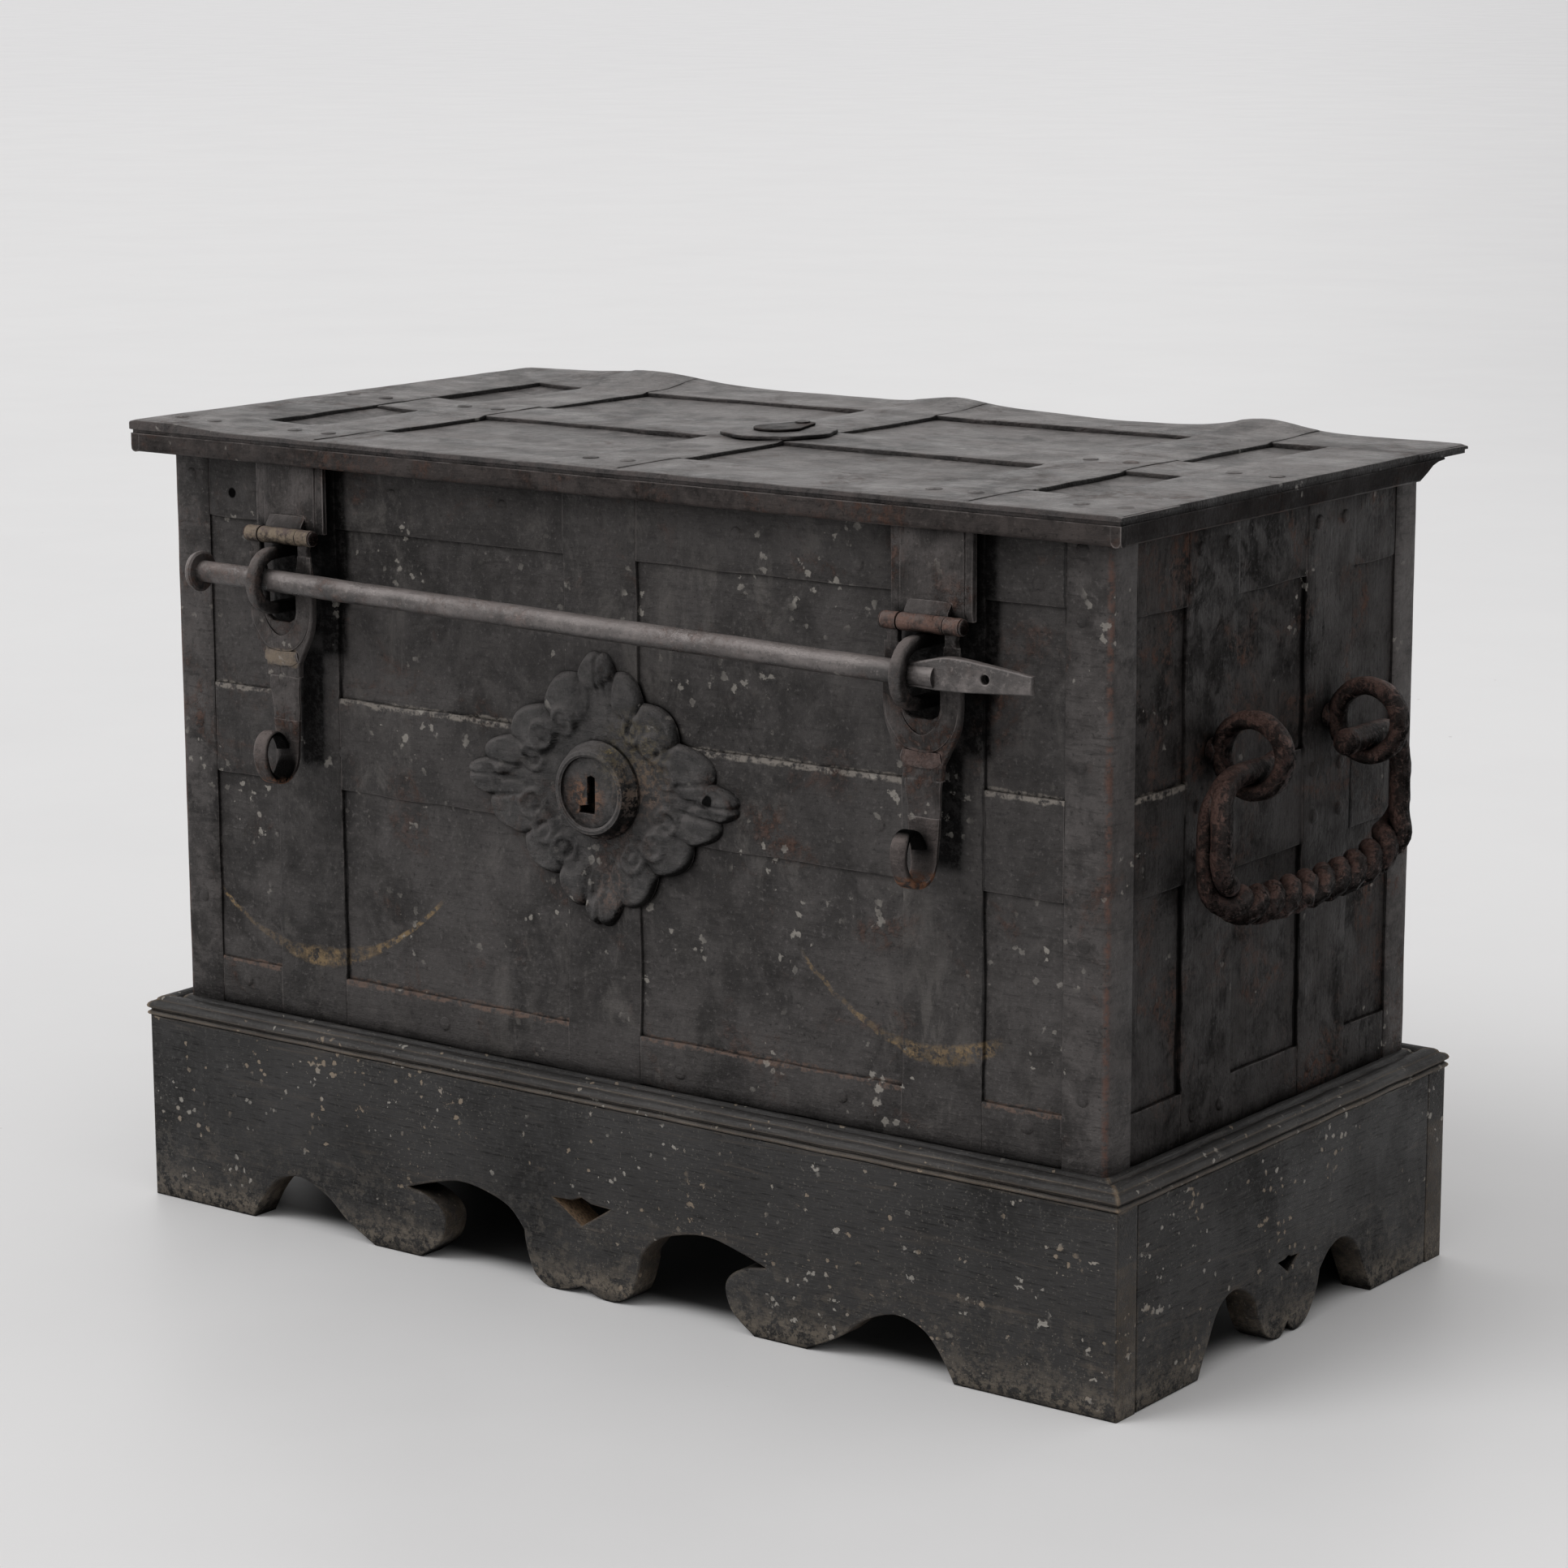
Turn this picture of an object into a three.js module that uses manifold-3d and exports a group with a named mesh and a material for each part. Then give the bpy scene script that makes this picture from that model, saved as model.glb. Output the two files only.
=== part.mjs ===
// An iron strongbox on a low wooden stand, in millimetres, +Z up, front towards -Y.
import * as THREE from "three";
import { mergeVertices } from "three/addons/utils/BufferGeometryUtils.js";
import Module from "manifold-3d";

const wasm = await Module();
wasm.setup();

// Body: a sheet iron box whose outer straps and corner angles give its full size.
const body_width = 800;
const body_depth = 390;
const body_height = 418;
const sheet_thickness = 4;
const strap_thickness = 3;
const clearance = 0.3;
const overrun = 5;
const round_sides = 16;
const curve_steps = 6;

// Corner angles, with one leg on the front or back and one on the side.
const corner_leg_front = 34;
const corner_leg_side = 30;

// Straps: upright ones in line with the hasps and hinges, level ones in three bands.
const strap_width = 63;
const strap_inset = 125.5;
const centre_strap_shift = -5;
const side_strap_spacing = 150;
const top_band_height = 58;
const side_top_band_height = 65;
const middle_band_below_mouth = 179;
const middle_band_height = 66;
const bottom_band_height = 35;

// Mouth: a flat frame inside the top of the walls, which the lock bolts catch.
const mouth_lip_width = 22;
const mouth_lip_thickness = 3.5;

// Lid: a plate with straps on it and a rim that hangs down in front and at both sides.
const lid_side_overhang = 20;
const lid_front_overhang = 23;
const lid_rear_overhang = 32;
const lid_border_width = 70;
const rim_thickness = 8;
const rim_height = 13.5;
const rim_scroll_length = 30;

// Rear hinges.
const hinge_leaf_width = 50;
const hinge_leaf_height = 110;
const hinge_leaf_thickness = 3;
const hinge_knuckle_radius = 7.2;
const hinge_knuckle_length = 17.4;
const hinge_pin_radius = 3.5;
const pin_head_height = 2;

// Hasps, their hangers under the lid, and the staples that they drop over.
const hanger_width = 63;
const hanger_thickness = 5;
const hasp_thickness = 5.5;
const hasp_offset = 20;
const hasp_knuckle_radius = 6;
const hasp_knuckle_length = 12;
const hanger_knuckle_length = 35;
const hasp_pin_radius = 3;
const hasp_width = 60;
const hasp_slot_width = 28;
const hasp_slot_play = 6;
const hasp_tail_width = 34;
const hasp_left_drop = 154;
const hasp_right_drop = 147;
const hasp_body_drop = 90;
const hasp_lean = (1.0 * Math.PI) / 180;
const curl_radius = 20;
const curl_width = 22;
const curl_turn = (300 * Math.PI) / 180;
const staple_height = 48;
const staple_bar = 9;
const staple_reach = 56;
const staple_below_mouth = 98;
const staple_drop = 10;

// Locking rod, which rests on the lower bars of the two staples.
const rod_radius = 7.75;
const rod_offset = 38;
const rod_left_reach = 61.5;
const rod_right_reach = 25.5;
const rod_head_radius = 14.5;
const rod_head_thickness = 5;
const paddle_length = 90;
const paddle_height = 22;
const paddle_end_height = 12;
const paddle_thickness = 6;
const paddle_hole_radius = 3;

// Escutcheon with its boss and keyhole, in the middle of the front.
const escutcheon_width = 232;
const escutcheon_height = 186;
const escutcheon_thickness = 3;
const escutcheon_below_mouth = 216;
const boss_radius = 34;
const boss_face_radius = 27.5;
const boss_height = 13;
const keyhole_radius = 6.5;
const keyhole_slot_width = 7;
const keyhole_slot_length = 20;

// Ring eyes and bail handles on both sides.
const eye_radius = 30;
const eye_bar = 12.5;
const eye_stand_off = 1;
const eye_below_mouth = 162;
const eye_shank_radius = 5.5;
const eye_rivet_radius = 10;
const eye_rivet_thickness = 4;
const bail_half_width = 121;
const bail_height = 90;
const bail_end_radius = 7;
const bail_leg_radius = 9;
const bail_grip_radius = 13;
const bail_knob_radius = 9.5;
const bail_knob_reach = 29;

// Lock under the lid: a key disc drives four bolt bars out under the mouth frame.
const lock_plate_margin = 50;
const lock_plate_thickness = 4;
const disc_radius = 50;
const disc_thickness = 5;
const stud_circle_radius = 40;
const stud_radius = 4;
const key_turn = (20 * Math.PI) / 180;
const bolt_width = 20;
const bolt_thickness = 9.3;
const bolt_clearance = 0.4;
const bolt_gap = 3;
const bolt_head_spacing = 200;
const bolt_head_length = 30;
const cross_bar_width = 14;
const guide_thickness = 4;
const guide_length = 14;
const bridge_reach = 60;
const bridge_width = 14;
const bridge_drop = 25;
const lock_pin_radius = 5.7;

// Keyhole rosette on the lid, with a cover that swings on a rivet.
const rosette_radius = 42;
const rosette_thickness = 4;
const cover_radius = 18;
const cover_eye_radius = 9;
const cover_thickness = 3;
const cover_pivot_offset = 28;
const cover_rivet_radius = 3;
const cover_rivet_head_radius = 5.5;

// Stand: four sawn boards under a frame of moulding, tied by two bearers.
const stand_height = 152;
const stand_side_overhang = 24;
const stand_front_overhang = 22;
const long_pattern_shift = -12;
const board_thickness = 24;
const moulding_height = 14;
const moulding_width = 46;
const moulding_projection = 2;
const moulding_round = 8;
const bearer_width = 45;
const bearer_height = 40;
const bearer_spacing = 440;

// Half outlines of the boards' lower edges, from the middle to the foot, as shares of the board's
// half length and height: each row is one smooth stretch, and two rows meet in a corner.
const long_board_shares = [
  [[0, 0.045], [0.03, 0.012], [0.066, 0], [0.1, 0.055], [0.118, 0.185], [0.123, 0.275]],
  [[0.123, 0.275], [0.156, 0.377], [0.213, 0.435], [0.265, 0.449], [0.32, 0.413], [0.374, 0.362]],
  [[0.374, 0.362], [0.338, 0.34], [0.306, 0.29], [0.294, 0.215], [0.308, 0.1], [0.351, 0]],
  [[0.351, 0], [0.455, 0]],
  [[0.455, 0], [0.517, 0.1], [0.564, 0.21], [0.623, 0.275], [0.673, 0.24], [0.706, 0.145], [0.735, 0]],
  [[0.735, 0], [1, 0]],
];
const short_board_shares = [
  [[0, 0.06], [0.035, 0.01], [0.075, 0], [0.147, 0.045], [0.204, 0.16], [0.225, 0.25]],
  [[0.225, 0.25], [0.29, 0.325], [0.377, 0.355], [0.47, 0.3], [0.54, 0.15], [0.6, 0]],
  [[0.6, 0], [1, 0]],
];
// The pierced brace above the middle of a board, as shares of its own half width and height.
const brace_shares = [[0, 0], [1, 0.8], [0.35, 0.84], [0, 1], [-0.35, 0.84], [-1, 0.8]];
const long_brace_width = 50;
const long_brace_bottom = 50;
const long_brace_height = 20;
const short_brace_width = 25;
const short_brace_bottom = 44;
const short_brace_height = 11;

// Outline of a hasp beside its middle line, as shares of half its width and of its body's drop.
const hasp_side_shares = [[0.86, 0.1], [0.95, 0.27], [1, 0.5], [0.94, 0.72], [0.72, 0.9]];
// Lobes round one quarter of the escutcheon, as shares of the way from a side tip to an end tip.
const lobe_shares = [0, 0.16, 0.42, 0.68, 0.88, 1];
const lobe_bulge_share = 0.3;

// Places worked out from the sizes above.
const front_reach = staple_reach;
const body_y = (front_reach - lid_rear_overhang) / 2;
const body_bottom = stand_height;
const body_top = body_bottom + body_height;
const half_width = body_width / 2;
const half_depth = body_depth / 2;
const sheet_x = half_width - strap_thickness;
const sheet_y = half_depth - strap_thickness;
const inner_x = sheet_x - sheet_thickness;
const inner_y = sheet_y - sheet_thickness;
const floor_top = body_bottom + sheet_thickness;
const lid_plate_top = body_top + sheet_thickness;
const lid_top = lid_plate_top + strap_thickness;
const lid_front = half_depth + lid_front_overhang;
const lid_back = half_depth + lid_rear_overhang;
const lid_half_width = half_width + lid_side_overhang;
const strap_spacing = half_width - strap_inset;
const strap_places = [-strap_spacing, centre_strap_shift, strap_spacing];
const hinge_y = half_depth + hinge_knuckle_radius + 2 * clearance;
const hinge_z = body_top - hinge_leaf_thickness - hinge_knuckle_radius - clearance;
const middle_band_bottom = body_top - middle_band_below_mouth - middle_band_height;
const staple_level = body_top - staple_below_mouth;
const escutcheon_level = body_top - escutcheon_below_mouth;
const eye_level = body_top - eye_below_mouth;
const pin_above_staple = staple_height / 2 + hasp_knuckle_radius + clearance;
const hasp_pin_offset = hasp_offset + hasp_thickness / 2;
const staple_tilt = Math.atan2(staple_drop, 2 * strap_spacing);
const rod_left = strap_spacing + rod_left_reach;
const rod_right = strap_spacing + rod_right_reach;
const staple_bend = (staple_height - staple_bar) / 2;
const staple_leg = staple_reach - staple_bar / 2 - staple_bend;
const rod_play = staple_bend - staple_bar / 2 - rod_radius - 2 * clearance;
const rod_ride = Math.sqrt(rod_play ** 2 - (rod_offset - staple_leg) ** 2);
const eye_offset = eye_radius + eye_stand_off;
const eye_bore_radius = eye_radius - eye_bar;
const bail_pivot_level = eye_level - eye_bore_radius + bail_end_radius + clearance;
const lock_plate_bottom = body_top - lock_plate_thickness;
const bolt_top = lock_plate_bottom - bolt_clearance;
const bolt_bottom = bolt_top - bolt_thickness;
const guide_bottom = bolt_bottom - bolt_clearance - guide_thickness;
const disc_top = bolt_bottom - 4 * bolt_clearance;
const bridge_bottom = lock_plate_bottom - bridge_drop;
const bolt_throw = 2 * stud_circle_radius * Math.sin(key_turn / 2);
const mouth_x = inner_x - mouth_lip_width;
const mouth_y = inner_y - mouth_lip_width;

const iron = () =>
  new THREE.MeshStandardMaterial({ color: 0x5b5654, roughness: 0.62, metalness: 0.75 });
const lid_iron = () =>
  new THREE.MeshStandardMaterial({ color: 0x6f655f, roughness: 0.6, metalness: 0.7 });
const rod_iron = () =>
  new THREE.MeshStandardMaterial({ color: 0x8d817b, roughness: 0.5, metalness: 0.85 });
const rusty_iron = () =>
  new THREE.MeshStandardMaterial({ color: 0x6e5348, roughness: 0.8, metalness: 0.5 });
const painted_wood = () =>
  new THREE.MeshStandardMaterial({ color: 0x4e4b4a, roughness: 0.75, metalness: 0 });

// A closed geometry as a solid that can be joined and cut.
function solidOf(geometry) {
  const bare = geometry.clone();
  bare.deleteAttribute("normal");
  bare.deleteAttribute("uv");
  const merged = mergeVertices(bare);
  return new wasm.Manifold(
    new wasm.Mesh({
      numProp: 3,
      vertProperties: merged.attributes.position.array,
      triVerts: new Uint32Array(merged.index.array),
    }),
  );
}

// A joined or cut solid as a geometry again.
function geometryOf(solid) {
  const mesh = solid.getMesh();
  const geometry = new THREE.BufferGeometry();
  geometry.setAttribute("position", new THREE.BufferAttribute(mesh.vertProperties, 3));
  geometry.setIndex(new THREE.BufferAttribute(mesh.triVerts, 1));
  geometry.computeVertexNormals();
  return geometry;
}

function join(...geometries) {
  const solids = geometries.map(solidOf);
  return geometryOf(solids.reduce((whole, solid) => whole.add(solid)));
}

function cut(geometry, ...tools) {
  const solids = tools.map(solidOf);
  return geometryOf(solids.reduce((whole, solid) => whole.subtract(solid), solidOf(geometry)));
}

// A box between two corners.
function block(x0, x1, y0, y1, z0, z1) {
  const geometry = new THREE.BoxGeometry(x1 - x0, y1 - y0, z1 - z0);
  return geometry.translate((x0 + x1) / 2, (y0 + y1) / 2, (z0 + z1) / 2);
}

// A round bar between two places along X, Y or Z, through the point given.
function bar(axis, radius, from, to, point) {
  const geometry = new THREE.CylinderGeometry(radius, radius, to - from, round_sides);
  const middle = (from + to) / 2;
  if (axis === "x") geometry.rotateZ(-Math.PI / 2).translate(middle, point[0], point[1]);
  if (axis === "y") geometry.translate(point[0], middle, point[1]);
  if (axis === "z") geometry.rotateX(Math.PI / 2).translate(point[0], point[1], middle);
  return geometry;
}

function extrude(shape, depth) {
  return new THREE.ExtrudeGeometry(shape, { depth, bevelEnabled: false, curveSegments: curve_steps });
}

// An outline drawn in X and Z that grows towards -Y, from the plane y = 0.
function frontSlab(shape, thickness) {
  return extrude(shape, thickness).rotateX(Math.PI / 2);
}

// An outline drawn in Y and Z that grows towards +X, from the plane x = 0.
function sideSlab(shape, thickness) {
  return extrude(shape, thickness)
    .rotateX(Math.PI / 2)
    .rotateZ(Math.PI / 2);
}

function rectangle(target, x0, x1, y0, y1) {
  target.moveTo(x0, y0);
  target.lineTo(x1, y0);
  target.lineTo(x1, y1);
  target.lineTo(x0, y1);
  target.closePath();
  return target;
}

// A round section along points that lie in one plane, with a radius at each point.
function bentBar(points, radii, normal, sides) {
  const positions = [];
  const indices = [];
  points.forEach((point, i) => {
    const before = points[Math.max(i - 1, 0)];
    const after = points[Math.min(i + 1, points.length - 1)];
    const ahead = after.clone().sub(before).normalize();
    const across = new THREE.Vector3().crossVectors(ahead, normal);
    for (let k = 0; k < sides; k += 1) {
      const angle = (2 * Math.PI * k) / sides;
      const spoke = normal.clone().multiplyScalar(Math.cos(angle) * radii[i]);
      spoke.addScaledVector(across, Math.sin(angle) * radii[i]).add(point);
      positions.push(spoke.x, spoke.y, spoke.z);
    }
  });
  for (let i = 0; i + 1 < points.length; i += 1) {
    for (let k = 0; k < sides; k += 1) {
      const here = i * sides + k;
      const next = i * sides + ((k + 1) % sides);
      indices.push(here, next, here + sides, next, next + sides, here + sides);
    }
  }
  const last = (points.length - 1) * sides;
  for (let k = 1; k + 1 < sides; k += 1) {
    indices.push(0, k + 1, k, last, last + k, last + k + 1);
  }
  const geometry = new THREE.BufferGeometry();
  geometry.setAttribute("position", new THREE.Float32BufferAttribute(positions, 3));
  geometry.setIndex(indices);
  geometry.computeVertexNormals();
  return geometry;
}

// A keyhole outline as a tool that cuts between two levels along Z.
function keyholeTool(from, to) {
  const round = bar("z", keyhole_radius, from, to, [0, 0]);
  const half = keyhole_slot_width / 2;
  return join(round, block(-half, half, -keyhole_slot_length, 0, from, to));
}

function piece(name, geometry, material, x = 0, y = 0, z = 0) {
  const mesh = new THREE.Mesh(geometry, material);
  mesh.name = name;
  mesh.position.set(x, y, z);
  return mesh;
}

// Stand.

// A board's outline: its sawn lower edge, mirrored about the pattern's middle, with a pierced brace.
function boardShape(half_length, height, shares, brace, shift) {
  const outline = [];
  for (const row of shares) {
    const points = row.map(([x, y]) => new THREE.Vector2(x * half_length, y * height));
    const stretch = new THREE.SplineCurve(points);
    outline.push(...stretch.getPoints(points.length > 2 ? 2 * points.length : 1));
  }
  const half = outline.filter((point, i) => i === 0 || point.distanceTo(outline[i - 1]) > clearance);
  const edge = half.slice(0, -1);
  const right = edge.map((point) => new THREE.Vector2(point.x + shift, Math.max(point.y, 0)));
  const left = edge
    .slice(1)
    .reverse()
    .map((point) => new THREE.Vector2(shift - point.x, Math.max(point.y, 0)));
  const corners = [-half_length, half_length].map((x) => new THREE.Vector2(x, 0));
  const shape = new THREE.Shape([corners[0], ...left, ...right, corners[1]]);
  shape.lineTo(half_length, height);
  shape.lineTo(-half_length, height);
  shape.closePath();
  shape.holes.push(
    new THREE.Path(
      brace_shares.map(
        ([x, y]) =>
          new THREE.Vector2((x * brace.width) / 2 + shift, brace.bottom + y * brace.height),
      ),
    ),
  );
  return shape;
}

function standBoards() {
  const height = stand_height - moulding_height;
  const outer_x = half_width + stand_side_overhang - moulding_projection;
  const outer_y = half_depth + stand_front_overhang - moulding_projection;
  const long_brace = { width: long_brace_width, bottom: long_brace_bottom, height: long_brace_height };
  const short_brace = {
    width: short_brace_width,
    bottom: short_brace_bottom,
    height: short_brace_height,
  };
  const long_shape = boardShape(outer_x, height, long_board_shares, long_brace,
    long_pattern_shift);
  const short_shape = boardShape(outer_y - board_thickness, height, short_board_shares,
    short_brace, 0);
  return [
    piece("stand_front_board", frontSlab(long_shape, board_thickness), painted_wood(),
      0, board_thickness - outer_y),
    piece("stand_back_board", frontSlab(long_shape, board_thickness), painted_wood(), 0, outer_y),
    piece("stand_left_board", sideSlab(short_shape, board_thickness), painted_wood(), -outer_x),
    piece("stand_right_board", sideSlab(short_shape, board_thickness), painted_wood(),
      outer_x - board_thickness),
  ];
}

// One strip of moulding with a rounded upper edge, mitred at both ends; its outer face looks to -Y.
function mouldingStrip(half_length) {
  const profile = new THREE.Shape();
  profile.moveTo(moulding_width, 0);
  profile.lineTo(moulding_width, moulding_height);
  profile.lineTo(moulding_round, moulding_height);
  profile.quadraticCurveTo(0, moulding_height, 0, moulding_height - moulding_round);
  profile.lineTo(0, moulding_height / 4);
  profile.lineTo(moulding_projection, 0);
  profile.closePath();
  const strip = sideSlab(profile, 2 * half_length).translate(-half_length, 0, 0);
  const plan = new THREE.Shape();
  const end = half_length - clearance / 2;
  plan.moveTo(-end, 0);
  plan.lineTo(end, 0);
  plan.lineTo(end - moulding_width, moulding_width);
  plan.lineTo(moulding_width - end, moulding_width);
  plan.closePath();
  return geometryOf(solidOf(strip).intersect(solidOf(extrude(plan, moulding_height))));
}

function standMouldings() {
  const outer_x = half_width + stand_side_overhang;
  const outer_y = half_depth + stand_front_overhang;
  const level = stand_height - moulding_height;
  const sides = [
    ["front", outer_x, outer_y, 0],
    ["right", outer_y, outer_x, 1],
    ["back", outer_x, outer_y, 2],
    ["left", outer_y, outer_x, 3],
  ];
  return sides.map(([side, half_length, distance, quarter]) => {
    const strip = mouldingStrip(half_length).translate(0, -distance, level);
    const mesh = piece("stand_" + side + "_moulding", strip, painted_wood());
    mesh.rotation.z = (quarter * Math.PI) / 2;
    return mesh;
  });
}

function standBearers() {
  const board_inner = half_depth + stand_front_overhang - moulding_projection - board_thickness;
  const moulding_inner = half_depth + stand_front_overhang - moulding_width - clearance;
  const level = stand_height - moulding_height;
  const half = bearer_width / 2;
  return [-1, 1].map((side) => {
    const low = block(-half, half, -board_inner, board_inner, stand_height - bearer_height, level);
    const high = block(-half, half, -moulding_inner, moulding_inner, level - clearance, stand_height);
    const name = side < 0 ? "stand_left_bearer" : "stand_right_bearer";
    return piece(name, join(low, high), painted_wood(), (side * bearer_spacing) / 2);
  });
}

// Body.

function bodyPlates() {
  const height = body_top - floor_top;
  const eye_holes = [-1, 1].map((side) =>
    bar("x", eye_shank_radius + clearance, -half_width, half_width,
      [(side * side_strap_spacing) / 2, eye_level]),
  );
  const wall = (side) => {
    const near = side < 0 ? -sheet_x : inner_x;
    const plain = block(near, near + sheet_thickness, -inner_y, inner_y, floor_top, body_top);
    return cut(plain, ...eye_holes);
  };
  const long_wall = new THREE.BoxGeometry(2 * sheet_x, sheet_thickness, height);
  const level = floor_top + height / 2;
  const offset = sheet_y - sheet_thickness / 2;
  const floor_plate = block(-sheet_x, sheet_x, -sheet_y, sheet_y, body_bottom, floor_top);
  return [
    piece("floor_plate", floor_plate, iron()),
    piece("front_plate", long_wall, iron(), 0, -offset, level),
    piece("back_plate", long_wall, iron(), 0, offset, level),
    piece("left_plate", wall(-1), iron()),
    piece("right_plate", wall(1), iron()),
  ];
}

function cornerAngles() {
  const angles = [];
  for (const [depth_name, sy] of [["front", -1], ["back", 1]]) {
    for (const [side_name, sx] of [["left", -1], ["right", 1]]) {
      const shape = new THREE.Shape();
      const points = [
        [half_width, half_depth],
        [half_width - corner_leg_front, half_depth],
        [half_width - corner_leg_front, sheet_y],
        [sheet_x, sheet_y],
        [sheet_x, half_depth - corner_leg_side],
        [half_width, half_depth - corner_leg_side],
      ];
      shape.setFromPoints(points.map(([x, y]) => new THREE.Vector2(sx * x, sy * y)));
      const angle = extrude(shape, body_height);
      angles.push(
        piece("corner_angle_" + depth_name + "_" + side_name, angle, iron(), 0, 0, body_bottom),
      );
    }
  }
  return angles;
}

// Straps crossing on one face, joined where they cross: upright ones at the places given, and three
// level bands that run from end to end.
function strapNet(places, end, top_height) {
  const rows = [
    [body_bottom, body_bottom + bottom_band_height],
    [middle_band_bottom, middle_band_bottom + middle_band_height],
    [body_top - top_height, body_top],
  ];
  const half = strap_width / 2;
  const bars = places.map((place) => frontSlab(
    rectangle(new THREE.Shape(), place - half, place + half, body_bottom, body_top),
    strap_thickness,
  ));
  const bands = rows.map(([low, high]) => frontSlab(
    rectangle(new THREE.Shape(), -end, end, low, high),
    strap_thickness,
  ));
  return join(...bars, ...bands);
}

function bodyStraps() {
  const front_end = half_width - corner_leg_front - clearance;
  const side_end = half_depth - corner_leg_side - clearance;
  const side_places = [-side_strap_spacing / 2, side_strap_spacing / 2];
  const front = strapNet(strap_places, front_end, top_band_height).translate(0, -sheet_y, 0);
  const back = strapNet(strap_places, front_end, top_band_height).translate(0, half_depth, 0);
  const side = strapNet(side_places, side_end, side_top_band_height);
  const eye_holes = side_places.map((place) =>
    bar("y", eye_shank_radius + clearance, -strap_thickness - overrun, overrun,
      [place, eye_level]),
  );
  const bored = cut(side, ...eye_holes);
  const right = bored.clone().rotateZ(Math.PI / 2).translate(sheet_x, 0, 0);
  const left = bored.clone().rotateZ(-Math.PI / 2).translate(-sheet_x, 0, 0);
  return [
    piece("front_straps", front, iron()),
    piece("back_straps", back, iron()),
    piece("left_straps", left, iron()),
    piece("right_straps", right, iron()),
  ];
}

function mouthFrame() {
  const shape = rectangle(new THREE.Shape(), -inner_x, inner_x, -inner_y, inner_y);
  shape.holes.push(rectangle(new THREE.Path(), -mouth_x, mouth_x, -mouth_y, mouth_y));
  return piece("mouth_frame", extrude(shape, mouth_lip_thickness), iron(),
    0, 0, body_top - mouth_lip_thickness);
}

// Lid.

function lidPlate() {
  const plate = block(-lid_half_width, lid_half_width, -lid_front, lid_back, body_top, lid_plate_top);
  const keyhole = keyholeTool(body_top - overrun, lid_plate_top + overrun);
  return piece("lid_plate", cut(plate, keyhole), lid_iron());
}

function lidStraps() {
  const half = strap_width / 2;
  const columns = [
    [-lid_half_width, -lid_half_width + lid_border_width],
    ...strap_places.map((place) => [place - half, place + half]),
    [lid_half_width - lid_border_width, lid_half_width],
  ];
  const rows = [
    [-lid_front, -lid_front + lid_border_width],
    [-half, half],
    [lid_back - lid_border_width, lid_back],
  ];
  const bars = [
    ...columns.map(([from, to]) => block(from, to, -lid_front, lid_back, lid_plate_top, lid_top)),
    ...rows.map(([from, to]) =>
      block(-lid_half_width, lid_half_width, from, to, lid_plate_top, lid_top),
    ),
  ];
  const keyhole = keyholeTool(lid_plate_top - overrun, lid_top + overrun);
  return piece("lid_straps", cut(join(...bars), keyhole), lid_iron());
}

// The rim's side strips end at the back in a scroll.
function lidRim() {
  const front = block(-lid_half_width, lid_half_width, -lid_front, -lid_front + rim_thickness,
    body_top - rim_height, body_top);
  const shape = new THREE.Shape();
  shape.moveTo(-lid_front, body_top);
  shape.lineTo(-lid_front, body_top - rim_height);
  shape.lineTo(half_depth - rim_scroll_length, body_top - rim_height);
  shape.quadraticCurveTo(half_depth - rim_scroll_length / 2, body_top - rim_height,
    half_depth - rim_scroll_length / 2, body_top - rim_height / 2);
  shape.quadraticCurveTo(half_depth - rim_scroll_length / 2, body_top, half_depth, body_top);
  shape.closePath();
  const side = sideSlab(shape, rim_thickness);
  const left = side.clone().translate(-lid_half_width, 0, 0);
  const right = side.clone().translate(lid_half_width - rim_thickness, 0, 0);
  return piece("lid_rim", join(front, left, right), lid_iron());
}

function hinges(side, place) {
  const half = hinge_leaf_width / 2;
  const middle = hinge_knuckle_length / 2;
  const bore = bar("x", hinge_pin_radius + clearance, -half - overrun, half + overrun,
    [hinge_y, hinge_z]);
  const notch = block(-middle - clearance, middle + clearance, half_depth - overrun,
    hinge_y + hinge_knuckle_radius + overrun, hinge_z - hinge_knuckle_radius - 2 * clearance,
    body_top + overrun);
  const leaf = block(-half, half, half_depth, half_depth + hinge_leaf_thickness,
    hinge_z - hinge_leaf_height, hinge_z);
  const knuckle = bar("x", hinge_knuckle_radius, -half, half, [hinge_y, hinge_z]);
  const body_leaf = cut(join(leaf, knuckle), notch, bore);
  const lid_flap = block(-half, half, half_depth + clearance, lid_back - clearance,
    body_top - hinge_leaf_thickness, body_top);
  const lid_knuckle = bar("x", hinge_knuckle_radius, -middle, middle, [hinge_y, hinge_z]);
  const web = block(-middle, middle, hinge_y, hinge_y + hinge_knuckle_radius, hinge_z,
    body_top - hinge_leaf_thickness / 2);
  const lid_leaf = cut(join(lid_flap, lid_knuckle, web), bore);
  const shank = bar("x", hinge_pin_radius, -half - clearance - pin_head_height / 2,
    half + clearance + pin_head_height / 2, [hinge_y, hinge_z]);
  const heads = [-1, 1].map((end) => {
    const inner = end * (half + clearance);
    const outer = inner + end * pin_head_height;
    return bar("x", hinge_pin_radius + hinge_leaf_thickness / 2, Math.min(inner, outer),
      Math.max(inner, outer), [hinge_y, hinge_z]);
  });
  return [
    piece("hinge_body_leaf_" + side, body_leaf, iron(), place),
    piece("hinge_lid_leaf_" + side, lid_leaf, iron(), place),
    piece("hinge_pin_" + side, join(shank, ...heads), iron(), place),
  ];
}

// Hasps. Each set is drawn about its own pin axis: x = 0, y = 0 at the pin, z = 0 at the pin.

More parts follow.
